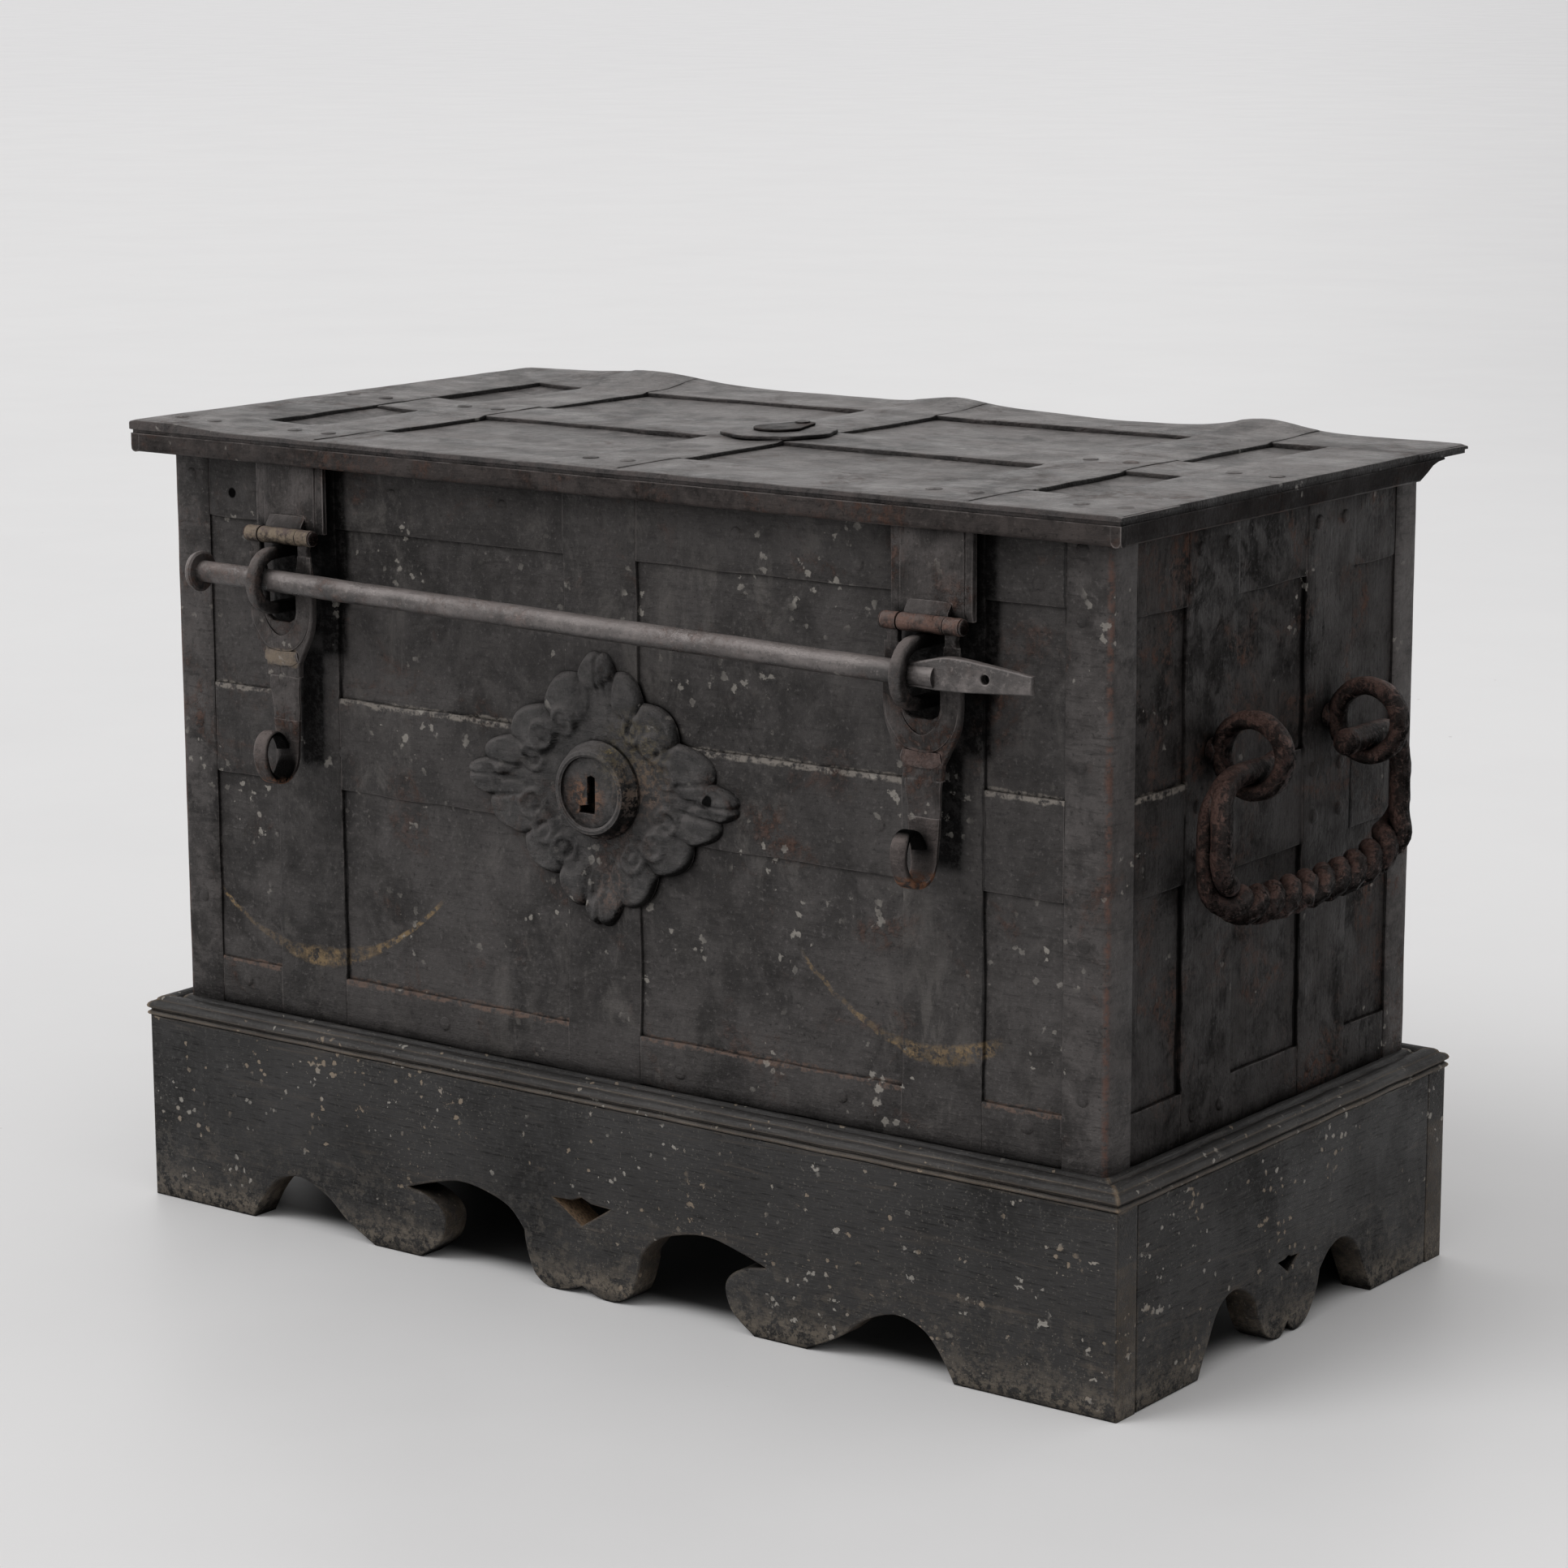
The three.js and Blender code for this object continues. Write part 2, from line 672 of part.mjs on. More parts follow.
function hangerGeometry(pin_level) {
  const half = hanger_width / 2;
  const middle = hanger_knuckle_length / 2;
  const back = hasp_pin_offset - (lid_front_overhang - rim_thickness - clearance - hanger_thickness);
  const plate = block(-half, half, back - hanger_thickness, back, 0, body_top - pin_level);
  const web = block(-middle, middle, 0, back, -hasp_knuckle_radius, hasp_knuckle_radius);
  const knuckle = bar("x", hasp_knuckle_radius, -middle, middle, [0, 0]);
  const bore = bar("x", hasp_pin_radius + clearance, -half - overrun, half + overrun, [0, 0]);
  return cut(join(plate, web, knuckle), bore);
}

function haspShape(drop) {
  const half = hasp_width / 2;
  const tail = hasp_tail_width / 2;
  const tip = curl_width / 2;
  const side = new THREE.SplineCurve([
    ...hasp_side_shares.map(([x, z]) => new THREE.Vector2(x * half, -z * hasp_body_drop)),
    new THREE.Vector2(tail, -hasp_body_drop),
  ]).getPoints(3 * curve_steps);
  const left = side.map((point) => new THREE.Vector2(-point.x, point.y)).reverse();
  const shape = new THREE.Shape();
  const top = hanger_knuckle_length / 2 + clearance + hasp_knuckle_length;
  shape.moveTo(-top, 0);
  shape.lineTo(top, 0);
  side.forEach((point) => shape.lineTo(point.x, point.y));
  shape.lineTo(tip, -drop);
  shape.lineTo(-tip, -drop);
  left.forEach((point) => shape.lineTo(point.x, point.y));
  shape.closePath();
  return shape;
}

// The opening drops over the staple; above it the two knuckles stand either side of the hanger's.
function haspSlot() {
  const shape = new THREE.Shape();
  const wide = hanger_knuckle_length / 2 + clearance;
  const half = hasp_slot_width / 2;
  const bottom = -pin_above_staple - staple_height / 2 - hasp_slot_play;
  shape.moveTo(wide, hasp_knuckle_radius + overrun);
  shape.lineTo(-wide, hasp_knuckle_radius + overrun);
  shape.lineTo(-wide, -2 * hasp_knuckle_radius);
  shape.lineTo(-half, bottom / 2);
  shape.lineTo(-half, bottom + half / 2);
  shape.quadraticCurveTo(-half, bottom, -half / 2, bottom);
  shape.lineTo(half / 2, bottom);
  shape.quadraticCurveTo(half, bottom, half, bottom + half / 2);
  shape.lineTo(half, bottom / 2);
  shape.lineTo(wide, -2 * hasp_knuckle_radius);
  shape.closePath();
  return shape;
}

// The tail's end, rolled forward: a strip that turns round the curl's centre.
function curlGeometry(drop) {
  const centre = hasp_thickness / 2 - curl_radius;
  const inner = curl_radius - hasp_thickness;
  const shape = new THREE.Shape();
  shape.absarc(centre, -drop, curl_radius, 0, -curl_turn, true);
  shape.absarc(centre, -drop, inner, -curl_turn, 0, false);
  shape.closePath();
  return sideSlab(shape, curl_width).translate(-curl_width / 2, 0, 0);
}

// It hangs leaning in towards the wall.
function haspGeometry(drop) {
  const half = hanger_knuckle_length / 2 + clearance + hasp_knuckle_length;
  const plate = frontSlab(haspShape(drop), hasp_thickness).translate(0, hasp_thickness / 2, 0);
  const knuckle = bar("x", hasp_knuckle_radius, -half, half, [0, 0]);
  const slot = frontSlab(haspSlot(), 4 * hasp_knuckle_radius).translate(0, 2 * hasp_knuckle_radius, 0);
  const bore = bar("x", hasp_pin_radius + clearance, -half - overrun, half + overrun, [0, 0]);
  return cut(join(plate, knuckle, curlGeometry(drop)), slot, bore).rotateX(hasp_lean);
}

function haspPinGeometry() {
  const half = hanger_knuckle_length / 2 + clearance + hasp_knuckle_length + clearance;
  const shank = bar("x", hasp_pin_radius, -half - pin_head_height / 2, half + pin_head_height / 2,
    [0, 0]);
  const left = bar("x", hasp_knuckle_radius - clearance, -half - pin_head_height, -half, [0, 0]);
  const right = bar("x", hasp_knuckle_radius - clearance, half, half + pin_head_height, [0, 0]);
  return join(shank, left, right);
}

// A staple: two legs out of the wall joined by a half round, as one bent bar.
function stapleGeometry() {
  const points = [new THREE.Vector3(0, 0, staple_bend)];
  for (let i = 0; i <= 2 * curve_steps; i += 1) {
    const angle = Math.PI / 2 - (Math.PI * i) / (2 * curve_steps);
    points.push(new THREE.Vector3(0, -staple_leg - staple_bend * Math.cos(angle),
      staple_bend * Math.sin(angle)));
  }
  points.push(new THREE.Vector3(0, 0, -staple_bend));
  const radii = points.map(() => staple_bar / 2);
  return bentBar(points, radii, new THREE.Vector3(1, 0, 0), round_sides / 2);
}

function haspSet(side, place, level, drop) {
  const pin_level = level + pin_above_staple;
  const pin_y = -half_depth - hasp_pin_offset;
  return [
    piece("staple_" + side, stapleGeometry(), iron(), place, -half_depth, level),
    piece("hanger_" + side, hangerGeometry(pin_level), iron(), place, pin_y, pin_level),
    piece("hasp_" + side, haspGeometry(drop), iron(), place, pin_y, pin_level),
    piece("hasp_pin_" + side, haspPinGeometry(), rusty_iron(), place, pin_y, pin_level),
  ];
}

// The rod lies along its own X, with a round head at the left and a flat paddle at the right. The
// paddle's lower edge is level with the rod's underside, so it slides over the staples' lower bars.
function lockingRod(middle_level) {
  const shaft = bar("x", rod_radius, -rod_left, rod_right, [0, 0]);
  const head = bar("x", rod_head_radius, -rod_left - rod_head_thickness, -rod_left + clearance,
    [0, 0]);
  const start = rod_right - paddle_length / 4;
  const shoulder = start + paddle_length / 3;
  const neck = start + paddle_length / 8;
  const end = start + paddle_length;
  const rise = paddle_height / 2 - rod_radius;
  const low = rise - paddle_height / 2;
  const high = rise + paddle_height / 2;
  const shape = new THREE.Shape();
  shape.moveTo(start, low);
  shape.lineTo(shoulder, low);
  shape.lineTo(end, rise - paddle_end_height / 2);
  shape.lineTo(end, rise + paddle_end_height / 2);
  shape.lineTo(shoulder, high);
  shape.quadraticCurveTo(neck, high, start, rod_radius);
  shape.closePath();
  const paddle = frontSlab(shape, paddle_thickness).translate(0, paddle_thickness / 2, 0);
  const hole = bar("y", paddle_hole_radius, -rod_head_radius, rod_head_radius,
    [start + (5 * paddle_length) / 8, rise]);
  const geometry = cut(join(shaft, head, paddle), hole);
  const mesh = piece("locking_rod", geometry, rod_iron(),
    0, -half_depth - rod_offset, middle_level - rod_ride);
  mesh.rotation.y = staple_tilt;
  return mesh;
}

function frontFastenings() {
  return [
    ...haspSet("left", -strap_spacing, staple_level + staple_drop / 2, hasp_left_drop),
    ...haspSet("right", strap_spacing, staple_level - staple_drop / 2, hasp_right_drop),
    lockingRod(staple_level),
  ];
}

// Escutcheon: a diamond whose sides are lobed, with a round boss over it.
function escutcheonShape() {
  const half_w = escutcheon_width / 2;
  const half_h = escutcheon_height / 2;
  const shape = new THREE.Shape();
  shape.moveTo(half_w, 0);
  for (let quarter = 0; quarter < 4; quarter += 1) {
    const turn = (quarter * Math.PI) / 2;
    const corner = (angle) => new THREE.Vector2(half_w * Math.cos(angle), half_h * Math.sin(angle));
    const from = corner(turn);
    const to = corner(turn + Math.PI / 2);
    for (let i = 1; i < lobe_shares.length; i += 1) {
      const start = from.clone().lerp(to, lobe_shares[i - 1]);
      const end = from.clone().lerp(to, lobe_shares[i]);
      const bulge = from.clone().lerp(to, (lobe_shares[i - 1] + lobe_shares[i]) / 2);
      bulge.multiplyScalar(1 + lobe_bulge_share * 2 * start.distanceTo(end) / half_h);
      shape.quadraticCurveTo(bulge.x, bulge.y, end.x, end.y);
    }
  }
  return shape;
}

function escutcheonPieces() {
  const plate = frontSlab(escutcheonShape(), escutcheon_thickness);
  const boss = new THREE.CylinderGeometry(boss_face_radius, boss_radius, boss_height, 2 * round_sides);
  boss.translate(0, boss_height / 2, 0);
  const half = keyhole_slot_width / 2;
  const foot = (3 * keyhole_slot_length) / 4;
  const slot = block(-half, half, -overrun, boss_height + overrun, -keyhole_slot_length / 2, foot);
  const flag = block(-keyhole_slot_length / 2, 0, -overrun, boss_height + overrun,
    foot - (3 * half) / 2, foot);
  const bored = cut(boss, join(slot, flag)).rotateX(Math.PI);
  return [
    piece("escutcheon", plate, iron(), centre_strap_shift, -half_depth, escutcheon_level),
    piece("keyhole_boss", bored, iron(), centre_strap_shift, -half_depth - escutcheon_thickness,
      escutcheon_level),
  ];
}

// Eyes and bails. Each is drawn for the right side and turned half round for the left.

function eyeGeometry() {
  const major = eye_radius - eye_bar / 2;
  const ring = new THREE.TorusGeometry(major, eye_bar / 2, round_sides / 2, 2 * round_sides);
  ring.rotateX(Math.PI / 2).translate(half_width + eye_offset, 0, 0);
  const shank = bar("x", eye_shank_radius, inner_x - eye_rivet_thickness / 2,
    half_width + eye_stand_off + eye_bar / 2, [0, 0]);
  const rivet = bar("x", eye_rivet_radius, inner_x - eye_rivet_thickness, inner_x, [0, 0]);
  return join(ring, shank, rivet);
}

// A bail: its ends lie in the eyes, its legs bow outwards, and its grip is thicker.
function bailGeometry() {
  const eye_y = side_strap_spacing / 2;
  const end = eye_y + eye_bar / 2 + bail_leg_radius;
  const knob = eye_y - bail_knob_reach;
  const path = new THREE.CurvePath();
  const at = (y, z) => new THREE.Vector3(0, y, z);
  path.add(new THREE.LineCurve3(at(knob, 0), at(end, 0)));
  path.add(new THREE.CubicBezierCurve3(at(end, 0), at(bail_half_width, 0),
    at(bail_half_width, -bail_height / 4), at(bail_half_width, -bail_height / 2)));
  path.add(new THREE.CubicBezierCurve3(at(bail_half_width, -bail_height / 2),
    at(bail_half_width, -bail_height), at(eye_y, -bail_height), at(0, -bail_height)));
  const half = [];
  path.curves.forEach((curve) => half.push(...curve.getPoints(curve_steps).slice(half.length ? 1 : 0)));
  const mirrored = half
    .slice(0, -1)
    .reverse()
    .map((point) => at(-point.y, point.z));
  const points = [...half, ...mirrored];
  const radii = points.map((point) => {
    const share = THREE.MathUtils.smoothstep(-point.z / bail_height, 0, 1);
    const grip = THREE.MathUtils.smoothstep(-point.z / bail_height, 1 / 2, 1);
    return bail_end_radius + (bail_leg_radius - bail_end_radius) * share
      + (bail_grip_radius - bail_leg_radius) * grip;
  });
  const rod = bentBar(points, radii, new THREE.Vector3(1, 0, 0), round_sides / 2);
  const knobs = [-1, 1].map((side) =>
    new THREE.SphereGeometry(bail_knob_radius, round_sides / 2 + 2, round_sides / 2)
      .translate(0, side * knob, 0),
  );
  return join(rod, ...knobs);
}

function sideHandles() {
  const handles = [];
  for (const [side, turn] of [["right", 0], ["left", 1]]) {
    const group = new THREE.Group();
    group.rotation.z = turn * Math.PI;
    const eye = eyeGeometry();
    const names = turn ? ["back", "front"] : ["front", "back"];
    names.forEach((name, i) => {
      const y = ((2 * i - 1) * side_strap_spacing) / 2;
      group.add(piece("eye_" + side + "_" + name, eye, rusty_iron(), 0, y, eye_level));
    });
    group.add(piece("bail_" + side, bailGeometry(), rusty_iron(),
      half_width + eye_offset, 0, bail_pivot_level));
    handles.push(group);
  }
  return handles;
}

// Lock.

// A guide that holds a bolt bar up against the lock plate, across the bar at a distance along it.
function boltGuide(distance) {
  const near = distance - guide_length / 2;
  const far = distance + guide_length / 2;
  const inner = bolt_width / 2 + bolt_clearance;
  const outer = inner + guide_thickness;
  const middle = stud_circle_radius;
  const top = lock_plate_bottom + clearance;
  return join(
    block(near, far, middle + inner, middle + outer, guide_bottom, top),
    block(near, far, middle - outer, middle - inner, guide_bottom, top),
    block(near, far, middle - outer, middle + outer, guide_bottom, guide_bottom + guide_thickness),
  );
}

function lockPlate() {
  const half_x = half_width - lock_plate_margin;
  const half_y = half_depth - lock_plate_margin;
  const plate = block(-half_x, half_x, -half_y, half_y, lock_plate_bottom, body_top);
  const quarter = Math.PI / 2;
  const guides = [
    boltGuide(half_x / 2),
    boltGuide(half_x - guide_length),
    boltGuide(half_x / 2).rotateZ(2 * quarter),
    boltGuide(half_x - guide_length).rotateZ(2 * quarter),
    boltGuide(disc_radius + guide_length).rotateZ(quarter),
    boltGuide(disc_radius + guide_length).rotateZ(3 * quarter),
  ];
  const reach = bridge_reach * Math.SQRT2;
  const half = bridge_width / 2;
  const span = block(-reach - half, reach + half, -half, half, bridge_bottom,
    bridge_bottom + guide_thickness);
  const posts = [-1, 1].map((side) =>
    block(side * reach - half, side * reach + half, -half, half, bridge_bottom,
      lock_plate_bottom + clearance),
  );
  const bridge = join(span, ...posts).rotateZ(quarter / 2);
  const pin = bar("z", lock_pin_radius, bridge_bottom + clearance, bolt_bottom, [0, 0]);
  const keyhole = keyholeTool(lock_plate_bottom - clearance, body_top + overrun);
  return piece("lock_plate", join(cut(plate, keyhole), ...guides, bridge, pin), iron());
}

// The disc rests turned back half its travel, with its studs in the slots of the bars.
function keyDisc() {
  const disc = bar("z", disc_radius, disc_top - disc_thickness, disc_top, [0, 0]);
  const bore = bar("z", lock_pin_radius + clearance, disc_top - disc_thickness - overrun,
    disc_top + overrun, [0, 0]);
  const half = keyhole_slot_width / 2;
  const notch = block(-half, half, -keyhole_slot_length, 0, disc_top - disc_thickness - overrun,
    disc_top + overrun);
  const studs = [];
  for (let i = 0; i < 4; i += 1) {
    const angle = (i * Math.PI) / 2 + key_turn / 2;
    const place = [stud_circle_radius * Math.cos(angle), stud_circle_radius * Math.sin(angle)];
    studs.push(bar("z", stud_radius, disc_top - disc_thickness / 2, bolt_top - bolt_clearance, place));
  }
  return piece("key_disc", cut(join(disc, ...studs), bore, notch.rotateZ(key_turn / 2)), iron());
}

// A bolt bar along +X, with the cross slot for its stud at the inner end.
function boltBar(reach) {
  const slot_x = -bolt_throw / 2;
  const half = bolt_width / 2;
  const middle = stud_circle_radius;
  const start = slot_x - stud_radius - 2 * bolt_clearance - guide_thickness;
  const plain = block(start, reach, middle - half, middle + half, bolt_bottom, bolt_top);
  const gap = stud_radius + bolt_clearance / 2;
  const slot = block(slot_x - gap, slot_x + gap, middle - half + guide_thickness,
    middle + half - guide_thickness + clearance, bolt_bottom - overrun, bolt_top + overrun);
  return cut(plain, slot);
}

// A bar with a cross bar at its end that carries three bolt heads.
function crossBoltBar(reach) {
  const near = reach - bolt_head_length;
  const half = bolt_head_spacing + bolt_width / 2;
  const cross = block(near - cross_bar_width, near, -half, half, bolt_bottom, bolt_top);
  const heads = [-1, 0, 1].map((side) => {
    const y = side * bolt_head_spacing;
    return block(near - clearance, reach, y - bolt_width / 2, y + bolt_width / 2, bolt_bottom,
      bolt_top);
  });
  return join(boltBar(near), cross, ...heads);
}

function lockPieces() {
  const bolts = [
    ["right", boltBar(mouth_x - bolt_gap), 0],
    ["back", crossBoltBar(mouth_y - bolt_gap), 1],
    ["left", boltBar(mouth_x - bolt_gap), 2],
    ["front", crossBoltBar(mouth_y - bolt_gap), 3],
  ].map(([side, geometry, quarter]) => {
    const mesh = piece("lock_bolt_" + side, geometry, iron());
    mesh.rotation.z = (quarter * Math.PI) / 2;
    return mesh;
  });
  return [lockPlate(), keyDisc(), ...bolts];
}

function lidRosette() {
  const plate = bar("z", rosette_radius, lid_top, lid_top + rosette_thickness, [0, 0]);
  const keyhole = keyholeTool(lid_top - overrun, lid_top + rosette_thickness + overrun);
  const seat = lid_top + rosette_thickness;
  const rivet_top = seat + 2 * clearance + cover_thickness;
  const shank = bar("z", cover_rivet_radius, seat - clearance, rivet_top + pin_head_height,
    [0, cover_pivot_offset]);
  const head = bar("z", cover_rivet_head_radius, rivet_top, rivet_top + pin_head_height,
    [0, cover_pivot_offset]);
  const cover = new THREE.Shape();
  cover.absarc(0, -cover_pivot_offset, cover_radius, Math.PI, 2 * Math.PI, false);
  cover.absarc(0, 0, cover_eye_radius, 0, Math.PI, false);
  cover.closePath();
  const bore = new THREE.Path();
  bore.absarc(0, 0, cover_rivet_radius + clearance, 0, 2 * Math.PI, true);
  cover.holes.push(bore);
  return [
    piece("lid_rosette", join(cut(plate, keyhole), shank, head), lid_iron()),
    piece("keyhole_cover", extrude(cover, cover_thickness), lid_iron(),
      0, cover_pivot_offset, seat + clearance),
  ];
}

const strongbox = new THREE.Group();
strongbox.position.y = body_y;
strongbox.add(
  ...standBoards(),
  ...standMouldings(),
  ...standBearers(),
  ...bodyPlates(),
  ...cornerAngles(),
  ...bodyStraps(),
  mouthFrame(),
  lidPlate(),
  lidStraps(),
  lidRim(),
  ...hinges("left", -strap_spacing),
  ...hinges("right", strap_spacing),
  ...frontFastenings(),
  ...escutcheonPieces(),
  ...sideHandles(),
  ...lockPieces(),
  ...lidRosette(),
);

const part = new THREE.Group();
part.add(strongbox);

export default part;
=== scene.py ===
# %% [markdown]
# # An iron strongbox on a sawn stand
# The box is about 300 years old: sheet iron walls inside a net of riveted straps, a heavy lid
# with a rim, two hasps that a rod locks, and a black painted stand of sawn boards.
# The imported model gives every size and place. This script dresses it: each cell first says what a
# piece is on the real object, and then builds it in millimetres, as a smith or a joiner would.

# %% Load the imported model
import math

import bmesh
import bpy
from mathutils import Matrix, Vector, noise


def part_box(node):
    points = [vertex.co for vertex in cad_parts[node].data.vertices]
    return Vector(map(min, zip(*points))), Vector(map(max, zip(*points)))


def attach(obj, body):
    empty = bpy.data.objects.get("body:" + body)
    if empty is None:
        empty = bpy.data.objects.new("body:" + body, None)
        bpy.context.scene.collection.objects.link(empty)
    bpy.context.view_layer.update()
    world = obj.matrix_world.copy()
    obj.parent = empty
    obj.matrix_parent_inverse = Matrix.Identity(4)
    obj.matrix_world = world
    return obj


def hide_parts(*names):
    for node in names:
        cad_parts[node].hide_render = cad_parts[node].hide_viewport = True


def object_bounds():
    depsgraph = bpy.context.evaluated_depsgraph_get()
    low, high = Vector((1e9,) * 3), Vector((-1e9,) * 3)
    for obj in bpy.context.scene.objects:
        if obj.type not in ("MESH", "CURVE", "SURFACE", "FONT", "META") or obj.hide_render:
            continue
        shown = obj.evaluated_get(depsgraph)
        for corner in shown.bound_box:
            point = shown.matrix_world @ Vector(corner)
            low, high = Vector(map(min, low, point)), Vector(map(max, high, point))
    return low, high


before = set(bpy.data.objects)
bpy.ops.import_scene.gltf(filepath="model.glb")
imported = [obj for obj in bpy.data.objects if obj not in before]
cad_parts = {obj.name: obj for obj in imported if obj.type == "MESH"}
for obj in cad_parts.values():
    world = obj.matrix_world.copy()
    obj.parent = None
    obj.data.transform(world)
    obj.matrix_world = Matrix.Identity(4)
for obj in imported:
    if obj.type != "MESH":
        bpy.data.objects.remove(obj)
cad_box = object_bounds()

# %% [markdown]
# ## Camera
# The photographer stood in front and to the right, a little above the lid, with a long lens that
# keeps the upright edges almost parallel. A camera is just a place and three directions, so the
# three directions are written out from the two angles and a very small roll.

# %% The camera
azimuth = math.radians(36.70)
elevation = math.radians(11.49)
roll = math.radians(-0.2085)
ahead = Vector((
    -math.sin(azimuth) * math.cos(elevation),
    math.cos(azimuth) * math.cos(elevation),
    -math.sin(elevation),
))
level_right = Vector((math.cos(azimuth), math.sin(azimuth), 0))
level_up = level_right.cross(ahead)
camera_right = level_right * math.cos(roll) + level_up * math.sin(roll)
camera_up = level_up * math.cos(roll) - level_right * math.sin(roll)
camera_data = bpy.data.cameras.new("studio_camera")
camera_data.lens = 97.777
camera_data.sensor_width = 36
camera_data.clip_end = 900
camera = bpy.data.objects.new("studio_camera", camera_data)
bpy.context.scene.collection.objects.link(camera)
camera.matrix_world = Matrix((camera_right, camera_up, -ahead)).transposed().to_4x4()
camera.location = (1.7793, -2.3709, 0.9306)
bpy.context.scene.camera = camera
print("camera distance to the box, m:", round(camera.location.length, 2))

# %% [markdown]
# ## Nodes in plain words
# Every finish below is a small graph of shader nodes. Building such a graph in code is wordy, so
# these classes keep one method for each kind of node that the finishes need, in four cells. Each
# method returns an output socket, which the next method takes as its input.
# Most sockets carry a share: a number from 0 to 1 that says how much of a mark a point gets.


# %% Steps with numbers
class NumberSteps:
    """Steps in a node tree, self.tree, for a point whose place is the socket self.place."""

    def add(self, kind, inputs=(), **settings):
        new = self.tree.nodes.new(kind)
        for key, value in settings.items():
            setattr(new, key, value)
        for key, value in dict(inputs).items():
            if isinstance(value, bpy.types.NodeSocket):
                self.tree.links.new(value, new.inputs[key])
            else:
                new.inputs[key].default_value = value
        return new

    def math(self, operation, first, second=0.0):
        return self.add("ShaderNodeMath", {0: first, 1: second}, operation=operation).outputs[0]

    def both(self, first, second):
        """The product of two shares: 1 only where both are 1."""
        return self.math("MULTIPLY", first, second)

    def less(self, first, second):
        return self.math("SUBTRACT", first, second)

    def between(self, value, low, high, to_low=0.0, to_high=1.0):
        """A smooth step: `to_low` where the value is `low`, and `to_high` where it is `high`."""
        mapped = self.add("ShaderNodeMapRange", {
            "Value": value, "From Min": low, "From Max": high,
            "To Min": to_low, "To Max": to_high,
        }, interpolation_type="SMOOTHSTEP")
        return mapped.outputs["Result"]

    def band(self, value, low, high, soft):
        """1 where the value lies between low and high, fading to 0 over `soft` on both sides."""
        return self.both(self.between(value, low - soft, low),
                         self.between(value, high + soft, high))


# %% [markdown]
# All patterns are placed by the object's own coordinates in metres, so a scale of 100 means
# features about a centimetre across, and the pattern stays on the iron when a lid or rod moves.


# %% Steps that make patterns
class PatternSteps(NumberSteps):
    def stretched(self, x, y, z):
        scaled = self.add("ShaderNodeMapping", {"Vector": self.place, "Scale": (x, y, z)})
        return scaled.outputs["Vector"]

    def cloud(self, scale, detail=4.0, rough=0.55, twist=0.0, place=None):
        texture = self.add("ShaderNodeTexNoise", {
            "Vector": place or self.place, "Scale": scale, "Detail": detail,
            "Roughness": rough, "Distortion": twist,
        })
        return texture.outputs["Fac"]

    def shaky(self, size, *cloud):
        """Noise around 0, with about half of `size` to both sides."""
        return self.both(self.less(self.cloud(*cloud), 0.5), size)

    def cells(self, scale, place=None):
        texture = self.add("ShaderNodeTexVoronoi", {"Vector": place or self.place, "Scale": scale})
        return texture.outputs["Distance"]

    def torn_dots(self, cells, size, edge):
        """Dots with torn outlines in the middles of cells. `size` says how large they grow."""
        gap = self.math("ADD", cells, self.shaky(0.9, 260, 3, 0.6))
        return self.between(self.math("DIVIDE", gap, size), edge, edge - 0.3)


# %% Steps that ask where a point lies and how it faces
class PlaceSteps(PatternSteps):
    def level(self, axis):
        """One coordinate of the surface point, "X", "Y" or "Z", in metres."""
        return self.add("ShaderNodeSeparateXYZ", {"Vector": self.place}).outputs[axis]

    def measured(self, operation, first, second):
        both = self.add("ShaderNodeVectorMath", {0: first, 1: second}, operation=operation)
        return both.outputs["Value"]

    def distance_to(self, point):
        """How far the surface point is from `point`, in metres."""
        return self.measured("DISTANCE", self.place, point)

    def along(self, direction):
        """How far the surface point lies in a direction, in metres."""
        return self.measured("DOT_PRODUCT", self.place, direction)

    def facing(self, x, y, z):
        """1 where the surface faces along (x, y, z), 0 where it is square to that, -1 behind."""
        normal = self.add("ShaderNodeTexCoord").outputs["Normal"]
        return self.measured("DOT_PRODUCT", normal, Vector((x, y, z)).normalized())

    def open_air(self, reach):
        """1 in the open and less in corners, where dirt collects and shade falls."""
        return self.add("ShaderNodeAmbientOcclusion", {"Distance": reach}, samples=6).outputs["AO"]

    def worn_edge(self, reach):
        """About 1 on outer edges sharper than `reach` metres, and 0 on flats and in creases."""
        rounded = self.add("ShaderNodeBevel", {"Radius": reach}, samples=6).outputs["Normal"]
        plain = self.add("ShaderNodeNewGeometry").outputs["Normal"]
        same_way = self.measured("DOT_PRODUCT", rounded, plain)
        outside = self.between(self.open_air(3 * reach), 0.6, 0.85)
        return self.both(self.between(same_way, 0.995, 0.8), outside)


# %% [markdown]
# A finish is a material with these steps. It starts with one shader, which takes a colour, a
# roughness and a normal, and the last step joins them to it. The small relief is only bump, since
# it is thinner than the mesh is fine. All shapes that one can feel with a finger are modelled.


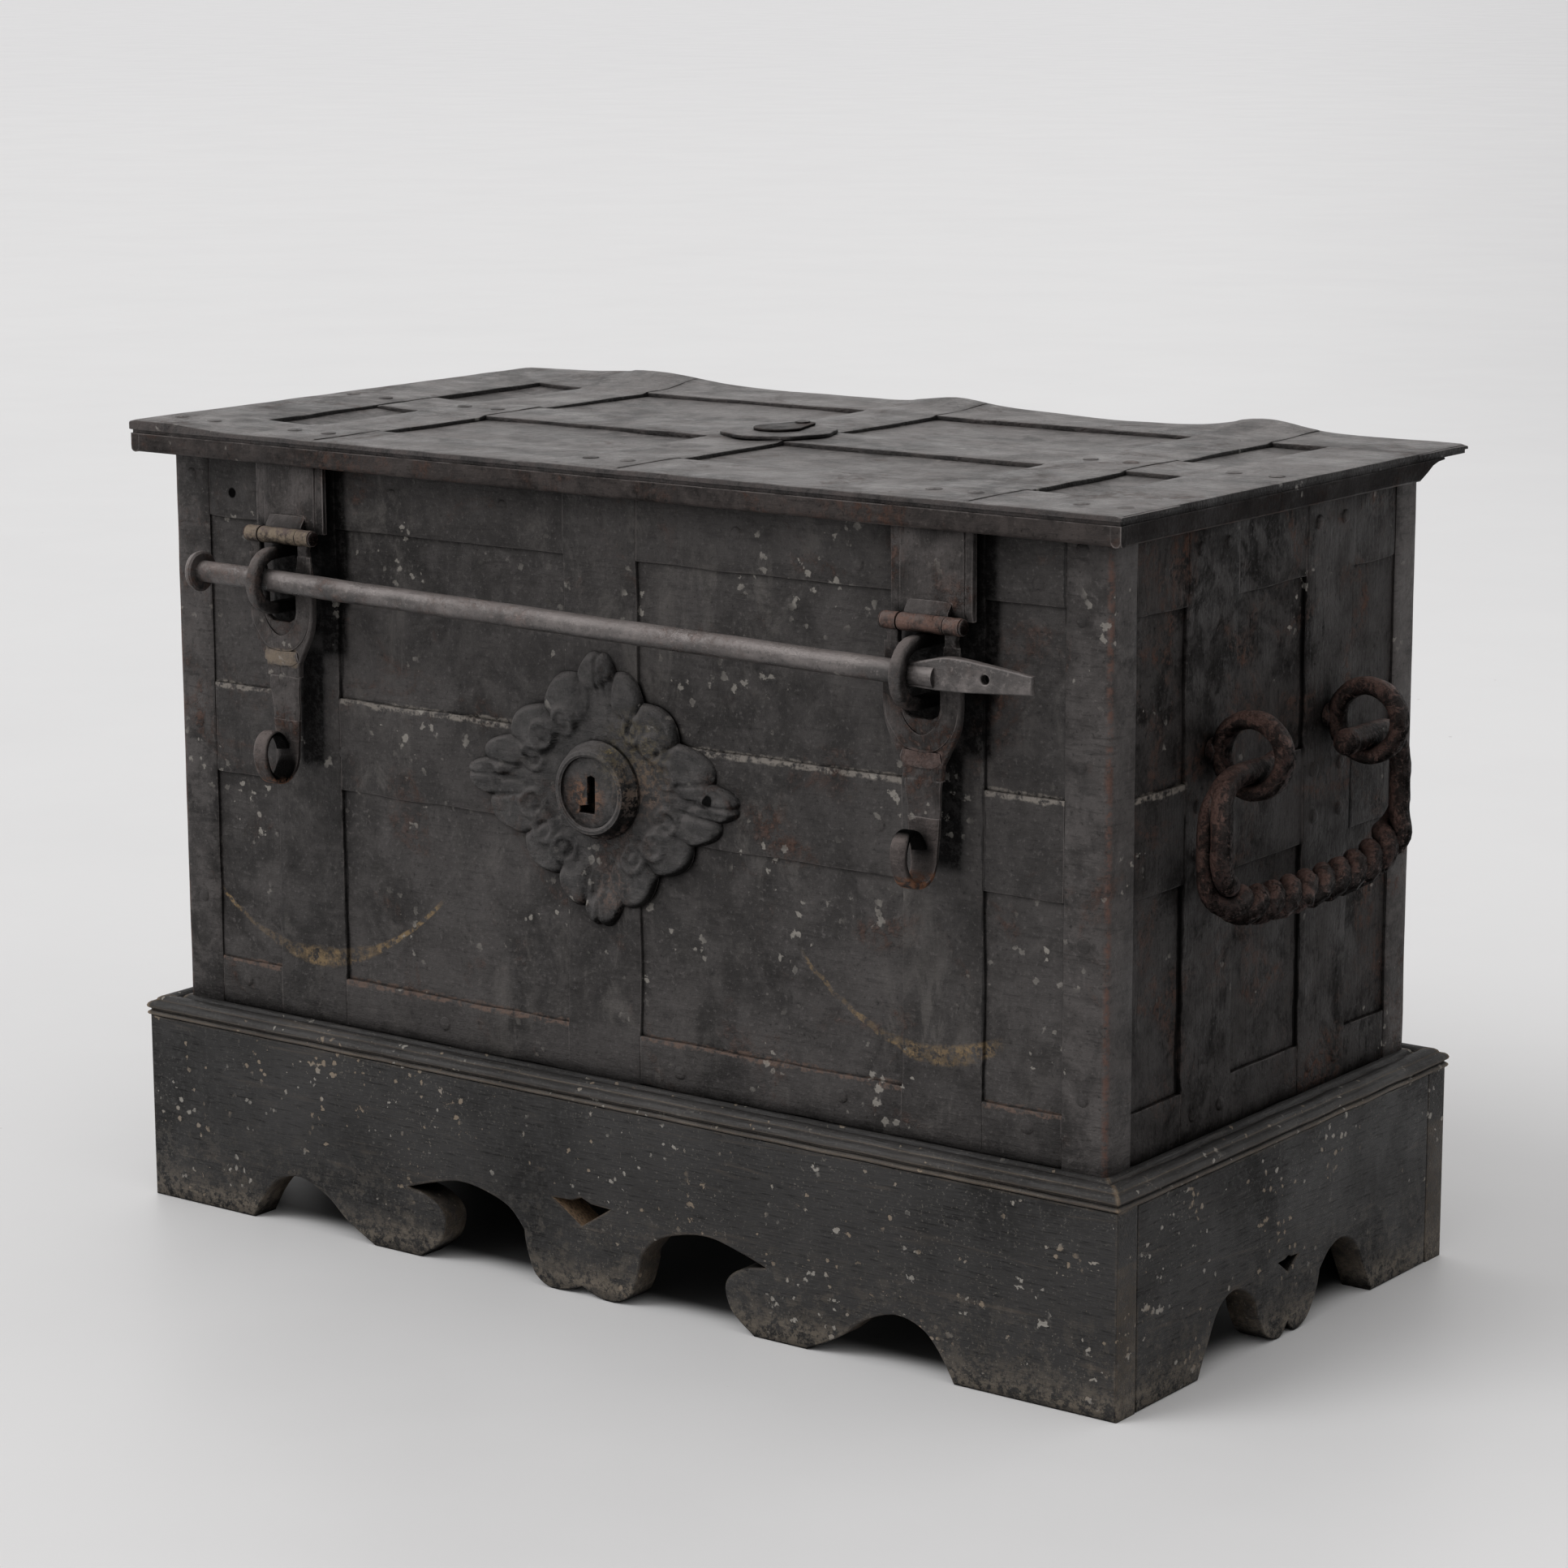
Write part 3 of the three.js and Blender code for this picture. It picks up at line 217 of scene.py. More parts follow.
# %% A finish
class Finish(PlaceSteps):
    def __init__(self, name):
        self.material = bpy.data.materials.new(name)
        self.material.use_nodes = True
        self.tree = self.material.node_tree
        self.shader = self.tree.nodes["Principled BSDF"]
        self.place = self.add("ShaderNodeTexCoord").outputs["Object"]

    def blend(self, share, below, above):
        mixed = self.add("ShaderNodeMix", {0: share, 6: below, 7: above}, data_type="RGBA")
        return mixed.outputs[2]

    def stain(self, colour, share, strength, tint):
        """The colour with a tint over it, as much as both shares allow."""
        return self.blend(self.both(share, strength), colour, tint)

    # Darker in corners and creases: dirt, and painted shade where the light doesn't reach.
    def dirty_corners(self, colour, reach, tint, low=0.25, high=0.88):
        return self.blend(self.between(self.open_air(reach), low, high), tint, colour)

    def bump(self, height, depth, below=None):
        inputs = {"Height": height, "Distance": depth, "Strength": 1.0}
        if below is not None:
            inputs["Normal"] = below
        return self.add("ShaderNodeBump", inputs).outputs["Normal"]

    def gloss(self, colour, amount):
        """Soot, dirt and painted shade make a colour dark, and the darker it is, the less it
        shines.
        """
        bright = self.add("ShaderNodeRGBToBW", {"Color": colour}).outputs["Val"]
        shining = self.between(bright, 0.001, 0.02, 0.05 * amount, amount)
        self.tree.links.new(shining, self.shader.inputs["Specular IOR Level"])

    def finish(self, colour, rough, normal, metal=0.0):
        for key, value in (("Base Color", colour), ("Roughness", rough), ("Normal", normal)):
            self.tree.links.new(value, self.shader.inputs[key])
        self.shader.inputs["Metallic"].default_value = metal
        return self.material


def grey(level, warmth=0.0):
    return (level * (1 + warmth), level, level * (1 - 0.3 * warmth), 1)


print("a finish knows", len([name for name in dir(Finish) if name[0] != "_"]), "steps")

# %% [markdown]
# ## Old iron
# Forged iron that has been oiled, painted and left for centuries is dark grey with a satin gloss.
# Up close it has cloudy patches, faint strokes from wiping, rust that starts in spots, worn edges
# that shine through, dirt and painted shade in the corners, and white paint specks. Dust lies on
# the upper side of everything round, with painted light there too, and painted shade lies below.
# An image could be wrapped round each piece, but noise and cell patterns need no unwrapping and
# never repeat. One function lays them over each other, and the pieces differ in how much of each
# they get.


# %% The layers of old iron
def iron_tones(f, tone, warmth, mottle, strokes, grain):
    """Clouds, blotches, strokes and grain that are lighter and darker than the tone."""
    patches = f.cloud(9, 7, 0.62, 0.8)
    blotches = f.cloud(48, 6, 0.65, 0.5)
    colour = f.blend(f.between(patches, 0.35, 0.65), grey(tone * (1 - 0.5 * mottle), warmth),
                     grey(tone * (1 + 0.6 * mottle), warmth))
    for pattern, low, high, strength, brightness in (
            (blotches, 0.42, 0.64, 0.7 * mottle, 1 + 1.2 * mottle),
            (blotches, 0.44, 0.28, 0.5 * mottle, 0.4),
            (strokes, 0.52, 0.68, 0.5 * mottle, 0.35),
            (grain, 0.54, 0.7, 0.65, 2.8),
            (grain, 0.44, 0.3, 0.7, 0.25)):
        share = f.between(pattern, low, high, 0, strength)
        colour = f.blend(share, colour, grey(tone * brightness, warmth))
    return colour


def lay_dust(f, colour, tone, warmth, dust):
    upward = f.facing(-0.5, -0.25, 0.8)
    # Dust, and painted light, on the side that faces up towards the light.
    colour = f.blend(f.between(upward, 0.3, 0.95, 0, dust), colour, grey(tone * 3.4, warmth))
    # Painted shade on the side that faces down, away from the light.
    return f.blend(f.between(upward, 0.2, -0.6, 0, dust), colour, grey(tone * 0.12, warmth))


def white_specks(f, colour, specks):
    size = f.between(f.cloud(31, 4, 0.6), 0.4, 0.66, 0.03, 0.3)
    where = f.between(f.cloud(15, 4, 0.6), 0.64 - 0.2 * specks, 0.66)
    dots = f.torn_dots(f.cells(90), size, 1.0)
    return f.stain(colour, f.both(dots, where), 0.62, (0.31, 0.29, 0.26, 1))


def old_iron(name, tone, warmth=0.09, rust=0.3, shine=0.5, wear=0.5, specks=0.3, relief=1.0,
             metal=0.0, worn_tone=0.17, stroke=(1, 1, 7), mottle=1.0, gloss_level=0.14, dust=0.0,
             marks=None, rust_tint=(0.085, 0.036, 0.021, 1)):
    f = Finish(name)
    strokes = f.cloud(46, 6, 0.65, 0.3, f.stretched(*stroke))
    grain = f.cloud(300, 5, 0.7)
    colour = iron_tones(f, tone, warmth, mottle, strokes, grain)
    if dust:
        colour = lay_dust(f, colour, tone, warmth, dust)
    rusty = f.both(f.between(f.cloud(13, 7, 0.65, 1.2), 0.62 - 0.25 * rust, 0.72),
                   f.between(f.cloud(150, 5, 0.7), 0.42, 0.6))
    colour = f.stain(colour, rusty, 0.85 * min(1, rust + 0.3), rust_tint)
    bare = f.both(f.worn_edge(0.002), f.between(f.cloud(28, 6, 0.7), 0.56 - 0.3 * wear, 0.62))
    colour = f.stain(colour, bare, 0.85, grey(worn_tone, 0.12))
    if marks:
        colour = marks(f, colour)
    colour = white_specks(f, colour, specks)
    # Dirt and painted shade in the corners.
    colour = f.dirty_corners(colour, 0.03, grey(tone * 0.08, warmth))
    f.gloss(colour, gloss_level)
    satin = f.between(f.cloud(26, 6, 0.6), 0.3, 0.7, shine - 0.12, shine + 0.14)
    waves = f.bump(f.cloud(30, 3, 0.5), 0.0018 * relief)
    wiped = f.bump(strokes, 0.0008 * relief, waves)
    pitted = f.bump(f.math("ADD", grain, f.both(rusty, 0.8)), 0.0009 * relief, wiped)
    return f.finish(colour, f.math("ADD", satin, f.both(rusty, 0.2)), pitted, metal)


print("one function for all the iron, with", old_iron.__code__.co_argcount, "settings")

# %% [markdown]
# ## Marks that have a place
# Noise puts its marks anywhere. Others belong to one spot: an edge that is rubbed and painted
# light where the light catches it, the gap between two sheets, the painted shadow beside a hanger.
# Such a mark is drawn by its distance from a line: where a point of the wall is nearer than the
# line is thick, it takes the mark's colour, and a little noise makes it ragged.


# %% Lines, seams and swags
def near_line(f, gap, thickness):
    """1 in the inner half of a line's thickness, fading to 0 at its full thickness."""
    return f.between(f.math("DIVIDE", f.math("ABSOLUTE", gap), thickness), 1.0, 0.5)


def dark_seams(f, colour, across, up, places, thickness, soft, strength, tone):
    """Dark upright lines. A place is how far across it lies, its foot and its head."""
    for seam, foot, head in places:
        line = f.both(near_line(f, f.less(across, seam), thickness), f.band(up, foot, head, soft))
        colour = f.stain(colour, line, strength, grey(tone))
    return colour


def swag(f, x, z, middle, lowest, bend, thick_at):
    """A line that hangs like a cord, and is thickest at `thick_at`."""
    out = f.less(x, middle)
    line = f.math("ADD", f.both(f.both(out, out), bend), lowest)
    reach = f.math("ABSOLUTE", f.less(x, thick_at))
    return near_line(f, f.less(z, line), f.between(reach, 0.0, 0.08, 0.0085, 0.0026))


# %% [markdown]
# ## What time left on the front, and painted light and shade
# The bands' upper edges are worn and catch the light, and are painted as light lines, except where
# a strap crosses them. Painted shadows fill the gaps beside the hangers, the hasps and their tails,
# and the hasps' openings. Dark lines down the right edges of two uprights are painted shade, and
# the top band's right end has a dark gap. Two faint painted swags hang below the middle band, and
# a nail has left its hole. All places here are in metres: x counts from the middle of the box and z
# from the floor.

# %% The marks on the front
strap_middles = (-0.2745, -0.005, 0.2745)
strap_half = 0.0315
# Levels of the bands' upper edges, worn and painted light where the light catches them, with tints.
rubbed_levels = {0.3898: (0.2, 0.18, 0.16, 1), 0.186: (0.115, 0.078, 0.062, 1)}
# Dark upright lines on the front: painted shade down the right edges of two uprights, and a gap at
# the top band's right end.
front_seams = [(-0.2425, 0.19, 0.325), (-0.2425, 0.392, 0.46), (0.306, 0.19, 0.46),
               (0.365, 0.505, 0.575)]
# Painted shadows, as x from and to and z from and to, in metres.
soot_beside_hangers = [(-0.2555, -0.236, 0.46, 0.6), (0.293, 0.3125, 0.45, 0.6)]
soot_in_openings = [(-0.302, -0.261, 0.44, 0.507), (0.247, 0.288, 0.43, 0.497)]
soot_beside_hasps = [(-0.256, -0.240, 0.425, 0.48), (0.291, 0.308, 0.415, 0.47)]
soot_beside_tails = [(-0.277, -0.260, 0.345, 0.42), (0.271, 0.288, 0.34, 0.41)]
swags = [(-0.270, 0.200, 4.0, -0.262, -0.372, -0.16), (0.265, 0.212, 4.7, 0.285, 0.17, 0.31)]
nail_hole = (-0.342, -0.183, 0.530)


def pale_haze(f, colour):
    drifts = f.between(f.cloud(30, 7, 0.75, 0.8, f.stretched(1, 1, 0.5)), 0.5, 0.66)
    share = f.both(drifts, f.between(f.cloud(7, 3), 0.4, 0.62, 0.1, 0.55))
    return f.blend(share, colour, (0.1, 0.092, 0.086, 1))


# Light lines on the bands' upper edges: wear, and a painted highlight where the light catches them.
def rubbed_edges(f, colour, x, z, patchy, crumbs):
    free = 1.0
    for place in strap_middles:
        covered = f.band(x, place - strap_half, place + strap_half, 0.001)
        free = f.both(free, f.less(1.0, covered))
    thickness = f.between(patchy, 0, 1, 0.0016, 0.0038)
    for level, tint in rubbed_levels.items():
        rubbed = near_line(f, f.less(z, level), thickness)
        colour = f.stain(colour, f.both(f.both(rubbed, free), crumbs), 0.85, tint)
    return colour


# Painted shadows, near black, beside the hangers, the hasps and their tails, and in the hasps'
# openings.
def soot(f, colour, x, z, crumbs):
    for left, right, foot, head in (soot_beside_hangers + soot_in_openings + soot_beside_hasps
                                    + soot_beside_tails):
        share = f.both(f.band(x, left, right, 0.006), f.band(z, foot, head, 0.009))
        share = f.both(share, f.between(crumbs, 0, 1, 0.8, 1))
        colour = f.stain(colour, share, 0.93, grey(0.003))
    return colour


def faded_swags(f, colour, x, z, patchy, crumbs):
    for middle, lowest, bend, thick_at, left, right in swags:
        faded = f.both(swag(f, x, z, middle, lowest, bend, thick_at),
                       f.band(x, left, right, 0.012))
        share = f.both(faded, f.both(crumbs, f.between(patchy, 0, 1, 0.35, 1)))
        colour = f.stain(colour, share, 0.75, (0.21, 0.145, 0.075, 1))
    return colour


def front_marks(f, colour):
    wobble = f.shaky(0.005, 70, 4)
    x, z = f.math("ADD", f.level("X"), wobble), f.math("ADD", f.level("Z"), wobble)
    patchy = f.between(f.cloud(30, 5, 0.7), 0.38, 0.56)
    crumbs = f.between(f.cloud(210, 4, 0.7), 0.4, 0.58)
    colour = pale_haze(f, colour)
    colour = rubbed_edges(f, colour, x, z, patchy, crumbs)
    colour = dark_seams(f, colour, x, z, front_seams, 0.0014, 0.004, 0.6, 0.004)
    colour = soot(f, colour, x, z, crumbs)
    colour = faded_swags(f, colour, x, z, patchy, crumbs)
    return f.blend(f.between(f.distance_to(nail_hole), 0.0045, 0.003), colour, grey(0.002))


# %% [markdown]
# ## Marks on the sides, the corners and the lid
# The sides face away from the light, and their iron is painted almost black as shade, with open
# seams and one rubbed edge. The corner angles have a red line of rust all along their bend. The
# lid's top is painted light as its sheen, and its edges and its right side are painted dark as
# shade.

# %% The marks on the sides, corners and lid
side_seams = [(-0.0955, 0.19, 0.325), (0.0545, 0.19, 0.325), (0.0545, 0.39, 0.5),
              (-0.0305, 0.19, 0.325), (0.1195, 0.19, 0.5)]


def side_marks(f, colour):
    wobble = f.shaky(0.006, 60, 4)
    y, z = f.math("ADD", f.level("Y"), wobble), f.math("ADD", f.level("Z"), wobble)
    colour = dark_seams(f, colour, y, z, side_seams, 0.0026, 0.006, 0.8, 0.003)
    rubbed = f.both(near_line(f, f.less(z, 0.3895), 0.003), f.band(y, -0.152, -0.096, 0.004))
    share = f.both(rubbed, f.between(f.cloud(150, 4, 0.7), 0.4, 0.56))
    return f.stain(colour, share, 0.8, (0.17, 0.15, 0.13, 1))


def corner_rust(f, colour):
    out_x = f.math("ABSOLUTE", f.level("X"))
    out_y = f.math("ABSOLUTE", f.less(f.level("Y"), 0.012))
    bend = f.both(f.between(out_x, 0.395, 0.3985), f.between(out_y, 0.190, 0.1935))
    share = f.both(bend, f.between(f.cloud(110, 6, 0.75), 0.42, 0.58))
    return f.stain(colour, share, 0.8, (0.115, 0.062, 0.048, 1))


# Painted shade on faces that turn to the right, away from the light.
def dark_right(f, colour):
    share = f.between(f.facing(1, 0, 0), 0.6, 0.9, 0, 0.9)
    return f.blend(share, colour, (0.006, 0.005, 0.005, 1))


# Painted shade on the lid's faces that don't face up, and on those to the right.
def dark_edges(f, colour):
    tint = f.blend(f.between(f.cloud(40, 6, 0.7), 0.4, 0.6), (0.016, 0.0125, 0.012, 1),
                   (0.04, 0.028, 0.025, 1))
    return dark_right(f, f.blend(f.between(f.facing(0, 0, 1), 0.6, 0.25), colour, tint))


# %% [markdown]
# ## Marks on the fittings
# What is handled most shows most: pink rust on the bails, thicker on their upper side as a painted
# highlight, a pale worn lip below each hasp's opening, old cream paint on the left hanger's
# knuckle. The staples are painted black as shade where they leave the wall, and rust has run from
# the keyhole, where every key left its oil.

# %% The marks on the fittings
keyhole = (-0.009, -0.196, 0.350)
escutcheon_nail = (0.0896, -0.190, 0.358)
escutcheon_stains = [
    ((0.028, -0.19, 0.382), 0.038, (0.13, 0.105, 0.06, 1), 0.6),
    ((0.035, -0.19, 0.36), 0.03, (0.15, 0.1, 0.075, 1), 0.6),
    ((0.009, -0.191, 0.3835), 0.0045, (0.36, 0.27, 0.09, 1), 0.9),
    ((0.005, -0.19, 0.288), 0.022, (0.14, 0.09, 0.07, 1), 0.6),
]


def pink_rust(f, colour):
    # Pink rust, laid on thicker on the upper side, towards the light, as a painted highlight.
    upward = f.between(f.facing(-0.5, -0.35, 0.7), -0.2, 0.9, -0.06, 0.11)
    share = f.between(f.math("ADD", f.cloud(130, 6, 0.85, 0.6), upward), 0.49, 0.62)
    return f.stain(colour, share, 0.9, (0.16, 0.09, 0.073, 1))


def sooty_arms(f, colour):
    # The arms near the wall are painted black as shade.
    return f.blend(f.between(f.level("Y"), -0.222, -0.212), colour, grey(0.002))


def pale_lip(f, colour):
    for side, level, tint in ((-1, 0.4207, (0.22, 0.175, 0.13, 1)),
                              (1, 0.4107, (0.13, 0.09, 0.08, 1))):
        share = f.both(f.band(f.level("Z"), level - 0.003, level + 0.004, 0.008),
                       f.band(f.both(f.level("X"), side), 0.262, 0.289, 0.006))
        crumbly = f.math("ADD", share, f.both(f.cloud(110, 5, 0.75), 1.6))
        colour = f.stain(colour, f.between(crumbly, 1.4, 1.9), 0.75, tint)
    return colour


def pale_paint(f, colour):
    """Old cream paint on the left hanger's knuckle, and pink rust on the right one's."""
    left = f.between(f.level("X"), 0.01, -0.01)
    tint = f.blend(left, (0.17, 0.1, 0.08, 1), (0.25, 0.2, 0.145, 1))
    return f.stain(colour, f.between(f.cloud(130, 5, 0.75), 0.38, 0.58), 0.8, tint)


def keyhole_rust(f, colour):
    share = f.both(f.between(f.distance_to(keyhole), 0.021, 0.004),
                   f.between(f.cloud(130, 6, 0.8), 0.46, 0.56))
    colour = f.stain(colour, share, 0.85, (0.2, 0.095, 0.05, 1))
    for place, reach, tint, strength in escutcheon_stains:
        share = f.both(f.between(f.distance_to(place), reach, 0.3 * reach),
                       f.between(f.cloud(190, 5, 0.8), 0.47, 0.58))
        colour = f.stain(colour, share, strength, tint)
    return f.blend(f.between(f.distance_to(escutcheon_nail), 0.0055, 0.0035), colour, grey(0.003))


# %% [markdown]
# ## One finish for each kind of iron
# The first number is the tone, how bright the clean iron is: 0.01 is almost black, painted so on
# the sides as their shade, and 0.08 is the top of the lid, painted light as its sheen. The walls
# are mottled and matt, the rod is wiped bright by its own staples, and the bails are the roughest
# and rustiest.

# %% The finishes of the iron parts
box_iron = old_iron("box_iron", 0.033, rust=0.25, specks=0.8, mottle=0.75, marks=front_marks)
strap_iron = old_iron("strap_iron", 0.030, rust=0.3, wear=0.8, specks=0.65, mottle=0.7,
                      marks=front_marks)
back_iron = old_iron("back_iron", 0.031, rust=0.3, wear=0.7, specks=0.4, mottle=0.75)
# The sides' iron is painted almost black as shade, since the sides face away from the light.
side_iron = old_iron("side_iron", 0.0105, 0.15, rust=0.45, specks=0.4, stroke=(7, 7, 1),
                     marks=side_marks)
edge_iron = old_iron("edge_iron", 0.034, 0.1, rust=0.3, wear=0.7, specks=0.7, worn_tone=0.1,
                     marks=corner_rust)
# The lid top's light tone is painted sheen, and its sides are painted as shade.
lid_top_iron = old_iron("lid_top_iron", 0.078, 0.1, rust=0.35, shine=0.4, wear=0.8, specks=0.45,
                        relief=2.6, stroke=(1, 5, 1), gloss_level=0.55, marks=dark_edges)
# The rim's right side is painted as shade.
rim_iron = old_iron("rim_iron", 0.019, 0.22, rust=0.6, wear=0.6, specks=0.2, marks=dark_right)
hasp_iron = old_iron("hasp_iron", 0.038, 0.12, rust=0.45, wear=0.9, specks=0.8, worn_tone=0.26,
                     relief=1.8, stroke=(7, 7, 1), dust=0.4, marks=pale_lip)
lip_iron = old_iron("lip_iron", 0.05, 0.3, rust=0.45, wear=0.9, specks=0.3, worn_tone=0.34,
                    relief=2.2, stroke=(7, 7, 1), rust_tint=(0.14, 0.08, 0.05, 1), dust=0.6,
                    marks=pale_paint)
rusty_iron = old_iron("rusty_iron", 0.0105, 0.45, rust=0.8, wear=1.0, specks=0.15, worn_tone=0.3,
                      shine=0.4, relief=4.5, gloss_level=0.25, rust_tint=(0.06, 0.026, 0.02, 1),
                      dust=0.9, marks=pink_rust)
staple_iron = old_iron("staple_iron", 0.036, 0.2, rust=0.7, wear=1.0, specks=0.3, worn_tone=0.28,
                       relief=2.6, gloss_level=0.5, dust=0.9, marks=sooty_arms)
rod_iron = old_iron("rod_iron", 0.061, 0.14, rust=0.5, wear=0.5, specks=0.1, shine=0.36,
                    worn_tone=0.22, metal=0.3, relief=0.9, stroke=(0.15, 1, 1), gloss_level=0.6,
                    dust=0.6)
lock_iron = old_iron("lock_iron", 0.029, rust=0.35, wear=1.0, specks=0.9, worn_tone=0.2, relief=2.4,
                     shine=0.42, gloss_level=0.4, dust=0.95, marks=keyhole_rust)
print("iron finishes:", len([m for m in bpy.data.materials if m.name.endswith("iron")]))

# %% [markdown]
# ## Black painted wood
# The stand is softwood under black paint. The paint is thin over the grain, chipped to white
# filler in specks and runs, and rubbed through to brown wood on the lower edges and feet.
# Wood grain is noise that is stretched along the board, so there is one finish for boards that run
# left to right and one for boards that run front to back.


# %% The layers of painted wood
def thin_paint(f, paint, grain, fine):
    patches = f.between(f.cloud(6, 6, 0.6, 0.5), 0.32, 0.68)
    colour = f.blend(patches, grey(paint * 0.6, 0.05), grey(paint * 1.5, 0.06))
    colour = f.blend(f.between(f.cloud(260, 5, 0.7), 0.5, 0.7, 0, 0.5), colour,
                     grey(paint * 2.2, 0.05))
    colour = f.blend(f.between(fine, 0.5, 0.7, 0, 0.7), colour, grey(paint * 0.35, 0.05))
    return f.blend(f.between(grain, 0.58, 0.75, 0, 0.35), colour, (0.085, 0.066, 0.05, 1))


def sawn_faces(f, along):
    """1 on the narrow faces that the saw left below, which point along the board or down."""
    narrow = f.between(f.math("ABSOLUTE", f.facing(along, 1 - along, 0)), 0.7, 0.4)
    return f.both(narrow, f.band(f.level("Z"), 0.002, 0.1, 0.003))


def rubbed_through(f, colour, grain, bare_share):
    """Bare wood on worn edges, and dusty wood on the scrolls and feet."""
    wood = f.blend(f.between(grain, 0.35, 0.65), (0.10, 0.068, 0.042, 1), (0.23, 0.175, 0.12, 1))
    rubbed = f.both(f.worn_edge(0.004),
                    f.between(f.cloud(60, 6, 0.75), 0.66 - 0.3 * bare_share, 0.62))
    height = f.level("Z")
    scrolls = f.both(f.between(height, 0.09, 0.0), f.between(f.cloud(95, 6, 0.8), 0.5, 0.6))
    feet = f.both(f.between(height, 0.032, 0.0), f.between(f.cloud(200, 6, 0.8), 0.44, 0.56))
    low = f.math("MAXIMUM", f.both(scrolls, 0.3), f.both(feet, 0.85))
    colour = f.blend(rubbed, colour, wood)
    return f.blend(low, colour, f.blend(0.5, wood, (0.15, 0.14, 0.12, 1)))


def lay_fine_dust(f, colour):
    share = f.both(f.between(f.cloud(520, 3, 0.7), 0.6, 0.7),
                   f.between(f.cloud(9, 5, 0.65), 0.4, 0.6, 0.15, 0.7))
    return f.blend(share, colour, (0.15, 0.135, 0.115, 1))


def chips_and_runs(f):
    """1 where the paint is chipped down to its filler, in small chips and longer runs."""
    size = f.between(f.cloud(34, 4, 0.6), 0.4, 0.64, 0.03, 0.27)
    chips = f.both(f.torn_dots(f.cells(120), size, 1.0),
                   f.between(f.cloud(11, 5, 0.65), 0.46, 0.54))
    runs = f.both(f.torn_dots(f.cells(52, f.stretched(0.8, 0.8, 1.5)), size, 0.75),
                  f.between(f.cloud(7, 5, 0.6, 0.4), 0.48, 0.56))
    return f.math("MAXIMUM", chips, runs)


# %% Painted boards and bare wood
def painted_board(name, along, paint=0.017, bare_share=0.9):
    f = Finish(name)
    stretch = [9.0, 9.0, 9.0]
    stretch[along] = 0.7
    grain = f.cloud(14, 6, 0.6, 0.8, f.stretched(*stretch))
    fine = f.cloud(70, 5, 0.6, 0.3, f.stretched(*stretch))
    sawn = sawn_faces(f, along)
    colour = thin_paint(f, paint, grain, fine)
    colour = f.stain(colour, sawn, f.between(grain, 0.35, 0.6, 0.2, 0.75), (0.05, 0.038, 0.027, 1))
    colour = lay_fine_dust(f, rubbed_through(f, colour, grain, bare_share))
    chipped = chips_and_runs(f)
    filler = f.blend(f.between(f.cloud(20, 3), 0.45, 0.55), (0.32, 0.3, 0.27, 1),
                     (0.24, 0.19, 0.14, 1))
    colour = f.stain(colour, chipped, 0.7, filler)
    # Dirt and painted shade in the corners of the boards.
    colour = f.dirty_corners(colour, 0.02, grey(paint * 0.15, 0.05))
    under_brace = f.both(f.band(f.level("X"), -0.04, 0.016, 0.002),
                         f.band(f.level("Z"), 0.05, 0.1, 0.002))
    colour = f.stain(colour, f.both(under_brace, sawn), f.between(fine, 0.35, 0.6, 0.3, 1),
                     (0.15, 0.1, 0.062, 1))
    f.gloss(colour, 0.25)
    waves = f.bump(f.cloud(24, 3), 0.0012)
    relief = f.bump(f.less(fine, f.both(chipped, 0.8)), 0.0007, waves)
    return f.finish(colour, f.between(f.cloud(22, 5), 0.3, 0.7, 0.42, 0.62), relief)


def bare_wood():
    f = Finish("bare_wood")
    grain = f.cloud(16, 6, 0.6, 1.0, f.stretched(7, 0.6, 7))
    fine = f.cloud(120, 4, 0.6, 0.2, f.stretched(7, 0.6, 7))
    colour = f.blend(f.between(grain, 0.35, 0.65), (0.14, 0.1, 0.065, 1), (0.27, 0.2, 0.135, 1))
    # Dirt and painted shade in the corners.
    colour = f.dirty_corners(colour, 0.04, (0.02, 0.016, 0.012, 1), 0.2, 0.9)
    return f.finish(colour, f.between(fine, 0.3, 0.7, 0.7, 0.85), f.bump(fine, 0.0006))


# %% The wood finishes
left_to_right, front_to_back = 0, 1
long_board = painted_board("long_board_paint", left_to_right)
# The boards that run front to back stand at the sides, and their darker paint is painted shade.
short_board = painted_board("short_board_paint", front_to_back, 0.0135)
moulding_long = painted_board("long_moulding_paint", left_to_right, 0.025, 2.1)
moulding_short = painted_board("short_moulding_paint", front_to_back, 0.025, 2.1)
sawn_wood = bare_wood()
print("wood finishes:", len([m for m in bpy.data.materials if m.name.endswith(("paint", "wood"))]))

# %% [markdown]
# ## Shapes from rings
# Almost everything a smith forges can be told as a row of cross sections, or rings, from one end to
# the other: a rod, a strap, a ring, a boss. `loft` skins such a row. A shape here is a list of
# points in millimetres and a list of faces, and `piece` turns it into an object: it shrinks it to
# metres, makes all faces look outwards, and gives it a finish and a body to ride on.

# %% Noise, angles and rings
MM = 0.001


def wander(x, y, z, size, seed=0.0):
    """Smooth noise from about -1 to 1, with bumps `size` millimetres apart."""
    return noise.noise(Vector((x / size + 7.3 * seed, y / size - 3.1 * seed, z / size + seed)))


def turns(count, start=0.0, whole=2 * math.pi):
    """The angles of equal steps round a circle."""
    return [start + whole * k / count for k in range(count)]


def circle(radius, count, middle=(0, 0), way=1):
    """Points round a circle. A hole in a plate goes the other way, with way = -1."""
    return [(middle[0] + radius * math.cos(a), middle[1] + radius * math.sin(a))
            for a in turns(count, whole=2 * math.pi * way)]


